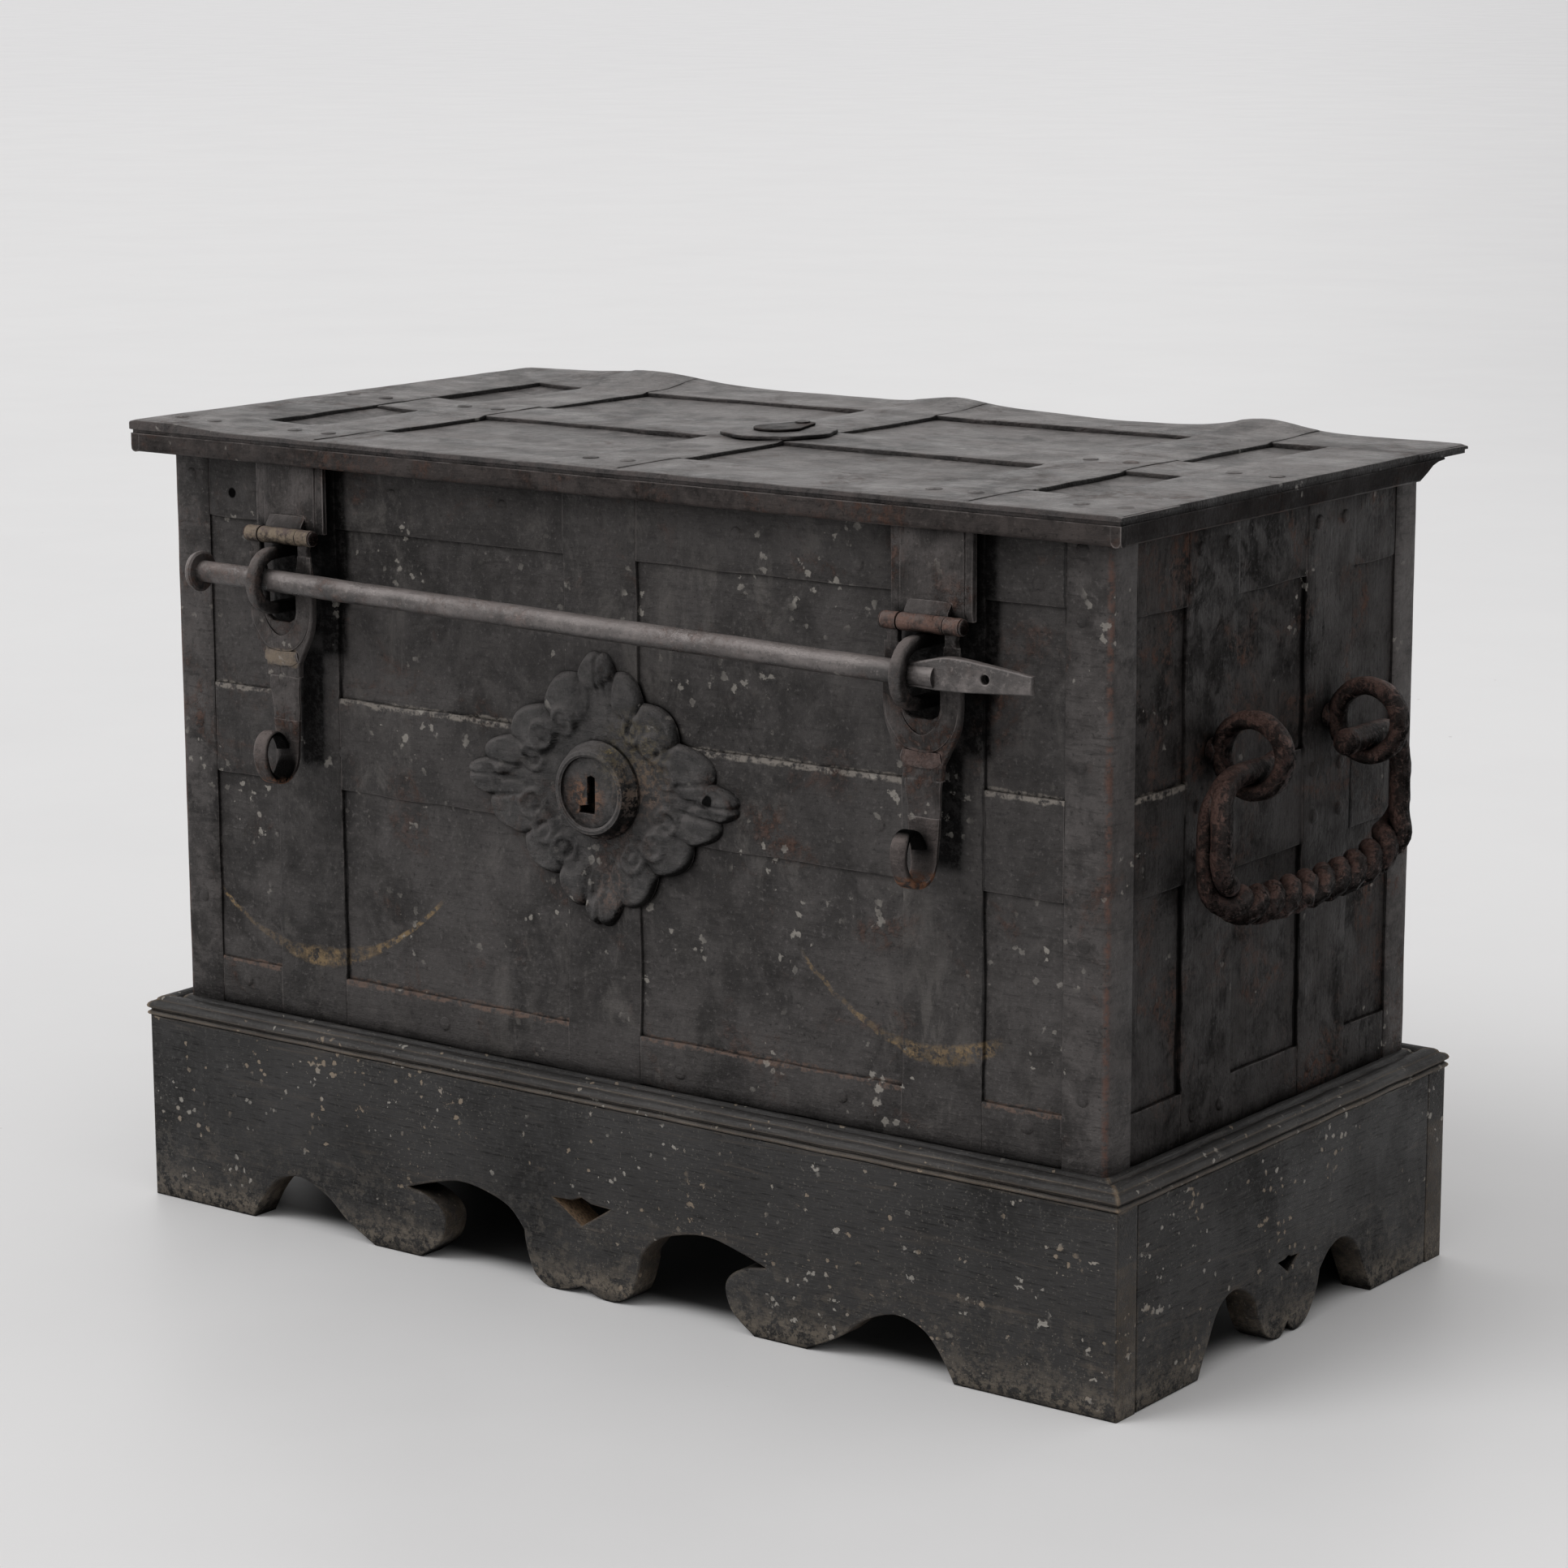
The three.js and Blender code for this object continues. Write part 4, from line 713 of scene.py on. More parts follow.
def loft(rings, closed=False):
    count = len(rings[0])
    points = [point for ring in rings for point in ring]
    faces = []
    for i in range(len(rings) if closed else len(rings) - 1):
        j = (i + 1) % len(rings)
        for k in range(count):
            n = (k + 1) % count
            faces.append((i * count + k, i * count + n, j * count + n, j * count + k))
    if not closed:
        faces.append(tuple(range(count)))
        faces.append(tuple(range(len(points) - count, len(points))))
    return points, faces


def together(*shapes):
    points, faces = [], []
    for shape_points, shape_faces in shapes:
        faces += [tuple(index + len(points) for index in face) for face in shape_faces]
        points += shape_points
    return points, faces


print("faces of a loft with 2 rings of 4 points:", len(loft([[(0, 0, 0)] * 4] * 2)[1]))


# %% From a shape to a piece
def piece(name, shape, finish, stands_for=(), body="chest", slot="iron", sharp=38):
    mesh = bpy.data.meshes.new(name)
    mesh.from_pydata([(x * MM, y * MM, z * MM) for x, y, z in shape[0]], [], shape[1])
    shell = bmesh.new()
    shell.from_mesh(mesh)
    bmesh.ops.remove_doubles(shell, verts=shell.verts, dist=1e-6)
    bmesh.ops.recalc_face_normals(shell, faces=shell.faces)
    shell.to_mesh(mesh)
    shell.free()
    mesh.shade_smooth()
    mesh.set_sharp_from_angle(angle=math.radians(sharp))
    mesh.materials.append(finish)
    made = bpy.data.objects.new(name, mesh)
    bpy.context.scene.collection.objects.link(made)
    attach(made, body)
    if stands_for:
        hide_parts(*stands_for)
    print(name, "-", len(mesh.polygons), "faces")


# %% [markdown]
# ## Turned, forged and cut
# A smith's piece starts as one of three things: something round from a lathe, a bar that is drawn
# out along a line, or a plate cut to an outline. `turned`, `bar` and `cut_plate` make these. The
# first two are lofts. The cut plate comes from a flat filled curve: Blender thickens it and rounds
# its edges, holes included.


# %% Turned and forged shapes
def turned(profile, centre, axis, sides=32, uneven=0.0):
    """A shape turned on a lathe: profile rows are (radius, distance along the axis)."""
    along = Vector(axis).normalized()
    side = along.orthogonal().normalized()
    other = along.cross(side)
    rings = []
    for radius, distance in profile:
        ring = []
        for angle in turns(sides):
            way = side * math.cos(angle) + other * math.sin(angle)
            reach = radius + uneven * wander(*(way * 20), distance + centre[0], 9)
            ring.append(tuple(Vector(centre) + along * distance + way * reach))
        rings.append(ring)
    return loft(rings)


def bar(path, sizes, up, sides=12, power=1.0, uneven=0.0, closed=False):
    """A bar forged along a path. A size is (half width along `up`, half thickness across it), and a
    power below 1 makes the section squarer."""
    rings = []
    last = len(path) - 1
    for i, point in enumerate(path):
        before = path[i - 1] if i or closed else path[0]
        after = path[(i + 1) % len(path)] if i < last or closed else path[last]
        way = (Vector(after) - Vector(before)).normalized()
        high = (Vector(up) - way * way.dot(Vector(up))).normalized()
        wide = way.cross(high)
        tall, thick = sizes[i] if isinstance(sizes, list) else sizes
        ring = []
        for angle in turns(sides, math.pi / sides):
            c, s = math.cos(angle), math.sin(angle)
            c = math.copysign(abs(c) ** power, c)
            s = math.copysign(abs(s) ** power, s)
            out = high * c * tall + wide * s * thick
            grow = 1 + uneven * wander(*(Vector(point) + out), 11)
            ring.append(tuple(Vector(point) + out * grow))
        rings.append(ring)
    return loft(rings, closed)


# %% Flowing lines and cut plates
def smooth_line(points, steps):
    """A flowing line through the points, which starts and ends on them."""
    line = []
    for i in range(len(points) - 1):
        p0, p1 = points[max(i - 1, 0)], points[i]
        p2, p3 = points[i + 1], points[min(i + 2, len(points) - 1)]
        for k in range(steps):
            t = k / steps
            line.append(tuple(
                0.5 * (2 * b + (c - a) * t + (2 * a - 5 * b + 4 * c - d) * t * t
                       + (3 * b - a - 3 * c + d) * t ** 3)
                for a, b, c, d in zip(p0, p1, p2, p3)))
    return line + [tuple(points[-1])]


def cut_plate(outlines, thickness, soft, place):
    """A plate cut to an outline, with holes, whose edges are softened by `soft` millimetres.
    place(u, v, h) says where a point of the drawing goes, with h from 0 to the thickness."""
    curve = bpy.data.curves.new("outline", "CURVE")
    curve.dimensions = "2D"
    curve.fill_mode = "BOTH"
    curve.extrude = thickness / 2 - soft
    curve.bevel_depth = soft
    curve.bevel_resolution = 2
    curve.offset = -soft
    for outline in outlines:
        line = curve.splines.new("POLY")
        line.points.add(len(outline) - 1)
        for point, (u, v) in zip(line.points, outline):
            point.co = (u, v, 0, 1)
        line.use_cyclic_u = True
    holder = bpy.data.objects.new("outline", curve)
    mesh = bpy.data.meshes.new_from_object(holder)
    points = [place(v.co.x, v.co.y, v.co.z + thickness / 2) for v in mesh.vertices]
    faces = [tuple(p.vertices) for p in mesh.polygons]
    bpy.data.objects.remove(holder)
    bpy.data.curves.remove(curve)
    bpy.data.meshes.remove(mesh)
    return points, faces


print("points in a flowing line of 2 x 6 steps:", len(smooth_line([(0, 0), (1, 1), (2, 0)], 6)))

# %% [markdown]
# ## The stand's boards
# Four boards, each sawn along its lower edge into scrolls and feet, with a small pierced brace
# above the middle. The scrolls are drawn as flowing lines through a few points, as shares of the
# board's half length and height, and mirrored about the pattern's middle. The cut plate gets soft
# edges, because centuries of feet and brooms have rounded them.

# %% The drawing of the boards
stand_end, stand_front, stand_back, middle_y = 422, -203, 227, 12
stand_board_height = 138
board_thickness = 24
long_scrolls = [
    [(0, 0.045), (0.03, 0.012), (0.066, 0), (0.1, 0.055), (0.118, 0.185), (0.123, 0.275)],
    [(0.123, 0.275), (0.156, 0.377), (0.213, 0.435), (0.265, 0.449), (0.32, 0.413), (0.374, 0.362)],
    [(0.374, 0.362), (0.338, 0.34), (0.306, 0.29), (0.294, 0.215), (0.308, 0.1), (0.351, 0)],
    [(0.351, 0), (0.455, 0)],
    [(0.455, 0), (0.517, 0.1), (0.564, 0.21), (0.623, 0.275), (0.673, 0.24), (0.706, 0.145),
     (0.735, 0)],
    [(0.735, 0), (1, 0)],
]
short_scrolls = [
    [(0, 0.06), (0.035, 0.01), (0.075, 0), (0.147, 0.045), (0.204, 0.16), (0.225, 0.25)],
    [(0.225, 0.25), (0.29, 0.325), (0.377, 0.355), (0.47, 0.3), (0.54, 0.15), (0.6, 0)],
    [(0.6, 0), (1, 0)],
]
brace_points = [(0, 0), (1, 0.8), (0.35, 0.84), (0, 1), (-0.35, 0.84), (-1, 0.8)]


def board_outline(half_length, scrolls, brace_width, brace_bottom, brace_height, shift):
    edge = []
    for stretch in scrolls:
        line = smooth_line(stretch, 6 if len(stretch) > 2 else 1)
        edge += [(u * half_length, max(v * stand_board_height, 0)) for u, v in line[:-1]]
    right = [(shift + u, v) for u, v in edge]
    right += [(half_length, 0), (half_length, stand_board_height)]
    left = [(-half_length, stand_board_height), (-half_length, 0)]
    left += [(shift - u, v) for u, v in reversed(edge[1:])]
    brace = [(shift + u * brace_width / 2, brace_bottom + v * brace_height)
             for u, v in brace_points]
    return [right + left, brace]


long_outline = board_outline(stand_end, long_scrolls, brace_width=50, brace_bottom=50,
                             brace_height=20, shift=-12)
short_outline = board_outline(191, short_scrolls, brace_width=25, brace_bottom=44,
                              brace_height=11, shift=0)
print("points in a long and a short outline:", len(long_outline[0]), len(short_outline[0]))

# %% The boards
boards = {
    "front": (long_outline, long_board, lambda u, v, h: (u, stand_front + h, v)),
    "back": (long_outline, long_board, lambda u, v, h: (u, stand_back - h, v)),
    "right": (short_outline, short_board, lambda u, v, h: (stand_end - h, middle_y + u, v)),
    "left": (short_outline, short_board, lambda u, v, h: (h - stand_end, middle_y + u, v)),
}
for side, (outline, finish, place) in boards.items():
    board = cut_plate(outline, board_thickness, 1.6, place)
    piece("stand_board_" + side, board, finish, ["stand_" + side + "_board"], slot="stand_wood")

# %% [markdown]
# ## The moulding
# A strip with two beads frames the top of the stand, mitred at the corners. A mitre needs no
# cutting here: every line of the profile that lies further in simply ends sooner, by the same
# distance, and so each strip is one loft.

# %% The moulding strips
moulding_out = 2
mitre_gap = 0.15
stand_top = 152
moulding_profile = [
    (46, 138), (46, 152), (21.5, 152), (20, 151), (18.8, 149.2), (17.6, 148.8), (16.2, 149.8),
    (14, 151.4), (11, 152), (8, 151.6), (6, 150.3), (5.4, 148.9), (4.2, 148.3), (2.4, 148),
    (0.9, 146.8), (0.2, 145.2), (0.5, 143.9), (1.4, 143.2), (2.6, 142.6), (2.7, 141.8),
    (1.6, 141.1), (0.8, 140.4), (0.5, 139.4), (1.2, 138.3), (2.4, 138),
]


def moulding_strip(half_length, place, seed):
    rings = []
    steps = int(half_length / 12)
    for i in range(-steps, steps + 1):
        ring = []
        for inset, level in moulding_profile:
            along = (half_length - mitre_gap - inset) * i / steps
            dent = 0.5 * wander(along, inset, level, 35, seed) if 0 < inset < 20 else 0
            ring.append(place(along, max(inset + dent, 0), min(level + 0.5 * dent, stand_top)))
        rings.append(ring)
    return loft(rings)


end, front, back = stand_end + moulding_out, stand_front - moulding_out, stand_back + moulding_out
mouldings = {
    "front": (end, moulding_long, lambda a, d, z: (a, front + d, z)),
    "back": (end, moulding_long, lambda a, d, z: (a, back - d, z)),
    "right": (back - middle_y, moulding_short, lambda a, d, z: (end - d, middle_y + a, z)),
    "left": (back - middle_y, moulding_short, lambda a, d, z: (d - end, middle_y + a, z)),
}
for seed, (side, (half_length, finish, place)) in enumerate(mouldings.items()):
    strip = moulding_strip(half_length, place, seed)
    piece("moulding_" + side, strip, finish, ["stand_" + side + "_moulding"], slot="stand_wood")

# %% [markdown]
# ## Sheets, straps and rivets
# The walls are thin sheets that were hammered flat by eye, so they swell and dip by a millimetre or
# so. Over them lie flat straps with soft, slightly crooked edges, held by round-headed rivets.
# All of these lie on one of the box's faces, so each face is a small function that puts (u, v, h)
# in space: u and v along the face, and h out of it. One slab builder then makes sheets and straps,
# and it only has to know how high the surface stands at each (u, v).

# %% The faces, slabs and sheets
sheet_depth = -4
faces_of_box = {
    "front": lambda u, v, h: (u, -180 - h, v),
    "back": lambda u, v, h: (u, 204 + h, v),
    "right": lambda u, v, h: (397 + h, u, v),
    "left": lambda u, v, h: (-397 - h, u, v),
    "lid": lambda u, v, h: (u, v, 574 + h),
}


def steps_between(low, high, step):
    count = max(1, round((high - low) / step))
    return [low + (high - low) * i / count for i in range(count + 1)]


def slab(face, us, vs, top, bottom):
    rings = []
    for u in us:
        ring = [face(u, vs[0], bottom)] + [face(u, v, top(u, v)) for v in vs]
        rings.append(ring + [face(u, vs[-1], bottom)])
    return loft(rings)


def sheet(face, u0, u1, v0, v1, dent, seed, lift=lambda u, v: 0.3):
    def top(u, v):
        rim = min(u - u0, u1 - u, v - v0, v1 - v, 30) / 30
        swell = dent * wander(u, v, 0, 110, seed) + 0.35 * dent * wander(u, v, 5, 37, seed)
        return swell * rim + lift(u, v)

    return slab(face, steps_between(u0, u1, 9), steps_between(v0, v1, 9), top, sheet_depth)


print("faces of the box:", ", ".join(faces_of_box))


# %% Straps
def strap(face, u0, u1, v0, v1, seed, rise=3.0, over=None, crooked=0.8, base=0.0):
    """A flat strap whose edges are rounded and a little crooked. `over` says how much higher it
    stands where it laps over another strap."""
    length_first = u1 - u0 > v1 - v0
    a0, a1, b0, b1 = (u0, u1, v0, v1) if length_first else (v0, v1, u0, u1)
    soft = min(1.3, rise / 2)
    wide = b1 - b0
    across = [0, 0, soft * 0.3, soft]
    across += steps_between(soft, wide - soft, 9)[1:-1]
    across += [wide - soft, wide - soft * 0.3, wide, wide]
    edge_drop = [rise + 0.5, soft, soft * 0.3, 0]
    drop = edge_drop + [0] * (len(across) - 8) + edge_drop[::-1]
    rings = []
    for i, a in enumerate(steps_between(a0, a1, 5)):
        first = crooked * wander(a, 0, 0, 48, seed)
        last = crooked * wander(a, 90, 0, 48, seed)
        tip = 1.2 if a in (a0, a1) else 0
        ring = []
        for b, fall in zip(across, drop):
            share = b / wide
            place_b = b0 + b + first * (1 - share) + last * share
            u, v = (a, place_b) if length_first else (place_b, a)
            swell = 0.35 * wander(u, v, 0, 31, seed) if fall < soft else 0
            lap = over(u, v) if over and fall <= rise else 0
            height = base + rise - fall + swell + lap - (tip if fall < rise else 0)
            ring.append(face(u, v, max(height, base - 0.5)))
        rings.append(ring)
    return loft(rings)


# %% Rivets, and steps between levels
def rivet(face, u, v, base, radius, rise):
    rows = ((1.0, -0.6), (1.0, 0.25), (0.86, 0.65), (0.55, 0.92), (0.18, 1.0))
    lean = wander(u, v, base, 3)
    rings = []
    for share, height in rows:
        ring = []
        for angle in turns(12):
            c, s = math.cos(angle), math.sin(angle)
            size = radius * share * (1 + 0.12 * wander(u + 9 * c, v, 9 * s, 7))
            ring.append(face(u + size * c + lean * height, v + size * s, base + rise * height))
        rings.append(ring)
    return loft(rings)


def step_up(value, low, high, run=5.0):
    """1 between low and high, with a slope `run` millimetres long outside them."""
    near = max(0.0, min(1.0, min(value - low + run, high + run - value) / run))
    return near * near * (3 - 2 * near)


print("half way up a step:", step_up(-2.5, 0, 10))

# %% [markdown]
# ## The walls
# Front and back carry three upright straps and three level bands, the sides two uprights and three
# bands. The uprights were put on last and lap over the bands, so they step up where they cross.
# The sheets, the bands and the uprights are lofted one after another and each wall's straps become
# one piece, since they are riveted together and never part.

# %% Walls and their straps
upright_places = (-274.5, -5.0, 274.5)
half_strap = 31.5
wall_foot, wall_head = 152, 570
band_levels = {"bottom": (152, 187), "middle": (325, 391), "top": (512, 570)}
side_band_levels = {"bottom": (152, 187), "middle": (325, 391), "top": (505, 570)}
lap_rise = 0.9


def wall_straps(face, places, end_low, end_high, levels, seed):
    def lapping(u, v):
        return lap_rise * max(step_up(v, low, high) for low, high in levels.values())

    shapes = []
    for n, (low, high) in enumerate(levels.values()):
        shapes.append(strap(face, end_low, end_high, low, high, seed + n, crooked=1.3))
    for n, place in enumerate(places):
        shapes.append(strap(face, place - half_strap, place + half_strap, wall_foot + 0.2,
                            wall_head - 0.2, seed + 4 + n, over=lapping, rise=2.9, crooked=1.1))
    return together(*shapes)


side_upright_places = (-63, 87)
walls = {
    # sheet from, to, its upright straps, bands from, to, their levels, the two finishes
    "front": (-397, 397, upright_places, -365.7, 365.7, band_levels, box_iron, strap_iron),
    "back": (-397, 397, upright_places, -365.7, 365.7, band_levels, back_iron, back_iron),
}
for side in ("right", "left"):
    walls[side] = (-176, 200, side_upright_places, -152.7, 176.7, side_band_levels, side_iron,
                   side_iron)
for seed, (side, wall) in enumerate(walls.items()):
    low, high, places, end_low, end_high, levels, sheet_finish, strap_finish = wall
    face = faces_of_box[side]
    dented = sheet(face, low, high, wall_foot + 4, wall_head, 1.2, seed + 1)
    piece("sheet_" + side, dented, sheet_finish, [side + "_plate"])
    piece("strapwork_" + side, wall_straps(face, places, end_low, end_high, levels, 10 * seed),
          strap_finish, [side + "_straps"])

# %% [markdown]
# ## Rivets on the walls
# Most rivets were filed almost flush and painted over. The few that stand out on the front were
# found on the straightened photograph. The other walls get a plain row on each upright.

# %% The wall rivets
strap_face_height = 2.5
front_rivets = [
    (346, 526), (378, 506), (378, 550), (208, 526), (64, 558), (-90, 540), (378, 413), (340, 360),
    (-382, 540), (-382, 470), (-382, 360), (-382, 230), (382, 300), (382, 200), (-150, 168),
    (195, 172), (340, 176), (-340, 172), (60, 166), (-240, 352), (225, 358), (-190, 540),
    (110, 538),
]
front_face = faces_of_box["front"]
domes = [rivet(front_face, u, v, strap_face_height, 4.6 + 1.6 * abs(wander(u, v, 0, 9)), 1.7)
         for u, v in front_rivets]
piece("rivets_front", together(*domes), strap_iron)
for side in ("back", "right", "left"):
    places = upright_places if side == "back" else side_upright_places
    spots = [(u + shift, v) for u in places for v in (170, 342, 374, 540) for shift in (-17, 17)]
    domes = [rivet(faces_of_box[side], u, v, strap_face_height + lap_rise, 5, 1.8)
             for u, v in spots]
    piece("rivets_" + side, together(*domes), side_iron)

# %% [markdown]
# ## Corner angles
# An angle of bent sheet covers each upright corner. It is bent, not sawn, so its outer corner is
# round, and the bend has worn bright and rusty along its whole height.


# %% The corner angles
body_half_width, body_half_depth = 400, 195
angle_section = [(34, 3.2), (34, 1), (33, 0.2), (24, 0), (14, 0), (6, 0), (3, 0.5), (1.4, 1.6),
                 (0.4, 3.4), (0, 7), (0, 14), (0, 22), (0.2, 29), (1, 30), (3.2, 30), (3.2, 3.2)]


def corner_angle(sx, sy, seed):
    corner_x, corner_y = body_half_width * sx, middle_y + body_half_depth * sy
    rings = []
    for level in steps_between(wall_foot, wall_head, 9):
        ring = []
        for p, q in angle_section:
            swell = 0.3 * wander(p, q, level, 40, seed)
            wide = 0.9 * wander(0, seed, level, 50) if p > 30 or q > 28 else 0
            p2 = max(p + (wide if p > 30 else swell if p < 2 else 0), 0)
            q2 = max(q + (wide if q > 28 else swell if q < 2 else 0), 0)
            ring.append((corner_x - sx * p2, corner_y - sy * q2, level))
        rings.append(ring)
    return loft(rings)


seed = 0
for depth, sy in (("front", -1), ("back", 1)):
    for side, sx in (("left", -1), ("right", 1)):
        piece("angle_" + depth + "_" + side, corner_angle(sx, sy, seed), edge_iron,
              ["corner_angle_" + depth + "_" + side])
        seed += 1

# %% [markdown]
# ## The lid
# The lid is a sheet with a wide border strap, three straps across and one along it. Between the
# straps the sheet sags, which gives the soft hollows that catch the light, and the straps ride up
# where they cross. All of it is made with the same slab and strap builders as the walls.

# %% How the lid sags and bends
lid_left, lid_right, lid_front, lid_back = -420, 420, -206, 239
border = 70
under_straps = 0.6
cross_row = (-19.5, 43.5)


def share_of_panel(value, edges):
    """How far a value is through the open panel it lies in, or 0 under a strap."""
    panels = zip(edges[::2], edges[1::2])
    return next(((value - a) / (b - a) for a, b in panels if a < value < b), 0)


def lid_sag(u, v):
    columns = sorted([lid_left + border, lid_right - border]
                     + [p + s * half_strap for p in upright_places for s in (-1, 1)])
    rows = [lid_front + border, cross_row[0], cross_row[1], lid_back - border]
    share_u, share_v = share_of_panel(u, columns), share_of_panel(v, rows)
    hollow = math.sin(math.pi * share_u) ** 0.5 * math.sin(math.pi * share_v) ** 0.5
    return -under_straps - 2.0 * hollow


def lid_bow(u, v):
    """How much the old lid has bent up: along its left end, and where straps end at the back."""
    left_end = 3.2 * step_up(-u, 400, 430, 90)
    ends = 7.6 * math.exp(-((u + 290) / 62) ** 2) + 5 * math.exp(-(u / 32) ** 2)
    ends += 6.5 * math.exp(-((u - 262) / 34) ** 2) - 2.4 * math.exp(-((u - 150) / 60) ** 2)
    return left_end + ends * step_up(v, 232, 250, 45)


def lid_lift(u, v):
    return lid_sag(u, v) + lid_bow(u, v)


print("the lid sags by", round(-lid_sag(-140, -78), 1), "mm in the middle of a panel")

# %% The lid's sheet
lid_face = faces_of_box["lid"]
inset = 1.8
lid_sheet = sheet(lid_face, lid_left + inset, lid_right - inset, lid_front + inset,
                  lid_back - inset, 1.1, 21, lid_lift)
piece("lid_sheet", lid_sheet, lid_top_iron, ["lid_plate"], body="lid", slot="lid_iron")


# %% The lid's straps and rivets
def lid_lap(u, v):
    rows = ((lid_front, lid_front + border), cross_row, (lid_back - border, lid_back))
    return lid_bow(u, v) + 1.2 * max(step_up(v, low, high) for low, high in rows)


def lid_strap(u0, u1, v0, v1, seed, base, rise=3.0, over=lid_bow, crooked=0.8):
    return strap(lid_face, u0, u1, v0, v1, seed, rise, over, crooked, base)


lid_strapwork = [
    lid_strap(lid_left, lid_right, lid_front, lid_front + border, 31, -under_straps),
    lid_strap(lid_left, lid_right, lid_back - border, lid_back - 0.9, 32, -under_straps),
    lid_strap(lid_left + border, lid_right - border, *cross_row, 33, -under_straps),
    lid_strap(lid_left + 0.8, lid_left + border, lid_front, lid_back, 34, -0.8),
    lid_strap(lid_right - border, lid_right - 0.8, lid_front, lid_back, 35, -0.8),
]
for n, place in enumerate(upright_places):
    lid_strapwork.append(lid_strap(place - half_strap, place + half_strap, lid_front + 1,
                                   lid_back - 1, 36 + n, -under_straps, 2.6, lid_lap, 1.8))
piece("lid_strapwork", together(*lid_strapwork), lid_top_iron, ["lid_straps"], body="lid",
      slot="lid_iron")
lid_rivet_spots = [(u + s, v) for u in (-385, *upright_places, 385) for v in (-171, 12)
                   for s in (-16, 16) if not (v == 12 and abs(u) < 10)]
lid_domes = [rivet(lid_face, u, v, 2.1 + lid_bow(u, v) + (1 if abs(u) < 330 else 0), 5.5, 1.5)
             for u, v in lid_rivet_spots]
piece("lid_rivets", together(*lid_domes), lid_top_iron, body="lid", slot="lid_iron")

# %% [markdown]
# ## The lid's keyhole
# The key goes in from above, through a thin round plate on the middle of the lid. A small cover on
# a rivet hides the hole. Both are cut plates, so low that one hardly sees them from the front.

# %% The rosette and its cover
rosette_low, rosette_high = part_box("lid_rosette")
rosette_x = 500 * (rosette_low.x + rosette_high.x)
rosette_y = 500 * (rosette_low.y + rosette_high.y)
rosette_half = 500 * (rosette_high.x - rosette_low.x)
print("rosette at", round(rosette_x, 1), round(rosette_y, 1), "half width", round(rosette_half, 1))
cover_pivot = 28.0
lid_hole = [(-3, 9), (0, 10), (3, 9), (3, -12), (-3, -12)]


def lobed_outline(radius, lobes, dip):
    reaches = [(radius - dip * (1 - math.cos(lobes * a)), a) for a in turns(72)]
    return [(reach * math.cos(a), reach * math.sin(a)) for reach, a in reaches]


def arc(radius, start, end, steps, middle=(0, 0)):
    return [(middle[0] + radius * math.cos(a), middle[1] + radius * math.sin(a))
            for a in [start + (end - start) * k / steps for k in range(steps + 1)]]


def on_rosette(base):
    return lambda u, v, h: (rosette_x + u, rosette_y + v, base + h)


rosette = cut_plate([lobed_outline(rosette_half - 0.3, 8, 1.2), lid_hole[::-1]], 3.2, 1.0,
                    on_rosette(576.6))
cover_rivet = turned([(3, -1), (3, 2.4), (5.4, 2.5), (5.2, 3.3), (3.4, 4.1), (1.2, 4.4)],
                     (rosette_x, rosette_y + cover_pivot, 579.6), (0, 0, 1), 20)
piece("rosette", together(rosette, cover_rivet), lid_top_iron, ["lid_rosette"], body="lid",
      slot="lid_iron")
cover_edge = arc(18, math.pi, 2 * math.pi, 24) + arc(9, 0, math.pi, 16, (0, cover_pivot))
cover_hole = circle(3.4, 20, (0, cover_pivot), -1)
cover = cut_plate([cover_edge, cover_hole], 1.8, 0.5, on_rosette(580.0))
piece("cover", cover, rim_iron, ["keyhole_cover"], body="cover", slot="lid_iron")

# %% [markdown]
# ## The lid's rim
# A heavy strip hangs under the edge of the lid in front and at the sides, and closes over the box
# like the rim of a pot lid. Its lower edge is rounded by hands, and at the back the side strips end
# in a small scroll.


# %% The rim
scroll_start, scroll_end = 177, 207
rim_section = [(1, 0), (1, -9), (1.3, -11.6), (2.6, -13.1), (4.6, -13.5), (6.6, -13), (7.8, -11.5),
               (8, -9), (8, 0)]


def rim_strip(start, end, place, depth=lambda along: 1.0, seed=0):
    rings = []
    for along in steps_between(start, end, 8):
        ring = []
        for inset, level in rim_section:
            bow = 0.5 * wander(along, level, 0, 55, seed)
            ring.append(place(along, inset + bow * (0 < inset < 8),
                              wall_head + level * depth(along)))
        rings.append(ring)
    return loft(rings)


def scroll_depth(along):
    """The rim's full depth up to where its scroll starts, and then two steps up to nothing."""
    if along < scroll_start:
        return 1.0
    share = min((along - scroll_start) / (scroll_end - scroll_start), 1)
    return max(0.12, 1 - 1.5 * share if share < 0.45 else 0.62 * (1 - share))


rim = together(
    rim_strip(-419.5, 419.5, lambda a, d, z: (a, lid_front + d, z), seed=1),
    rim_strip(lid_front + 1, scroll_end, lambda a, d, z: (lid_left + d, a, z), scroll_depth, 2),
    rim_strip(lid_front + 1, scroll_end, lambda a, d, z: (lid_right - d, a, z), scroll_depth, 3),
)
piece("rim", rim, rim_iron, ["lid_rim"], body="lid", slot="lid_iron")

# %% [markdown]
# ## Hangers
# Under the lid's front edge hang two plates that carry the hasps. Each is a flat plate with a
# thicker bar down its middle and a knuckle at its foot, through which the hasp's pin goes.
# Two straps and a short bar make one. A hasp's place is its x, the level of its pin, and how far
# its tail reaches below the pin.

# %% The hangers
hasp_places = {"left": (-274.5, 507.3, 154), "right": (274.5, 497.3, 147)}
pin_y = -205.75
hanger_back = -192.7
hanger_head = 569.5
hanger_knuckle = [(4, -17.6), (5.6, -17.2), (6, -16), (5.7, -8), (6, 0), (5.8, 9), (6, 16),
                  (5.6, 17.2), (4, 17.6)]


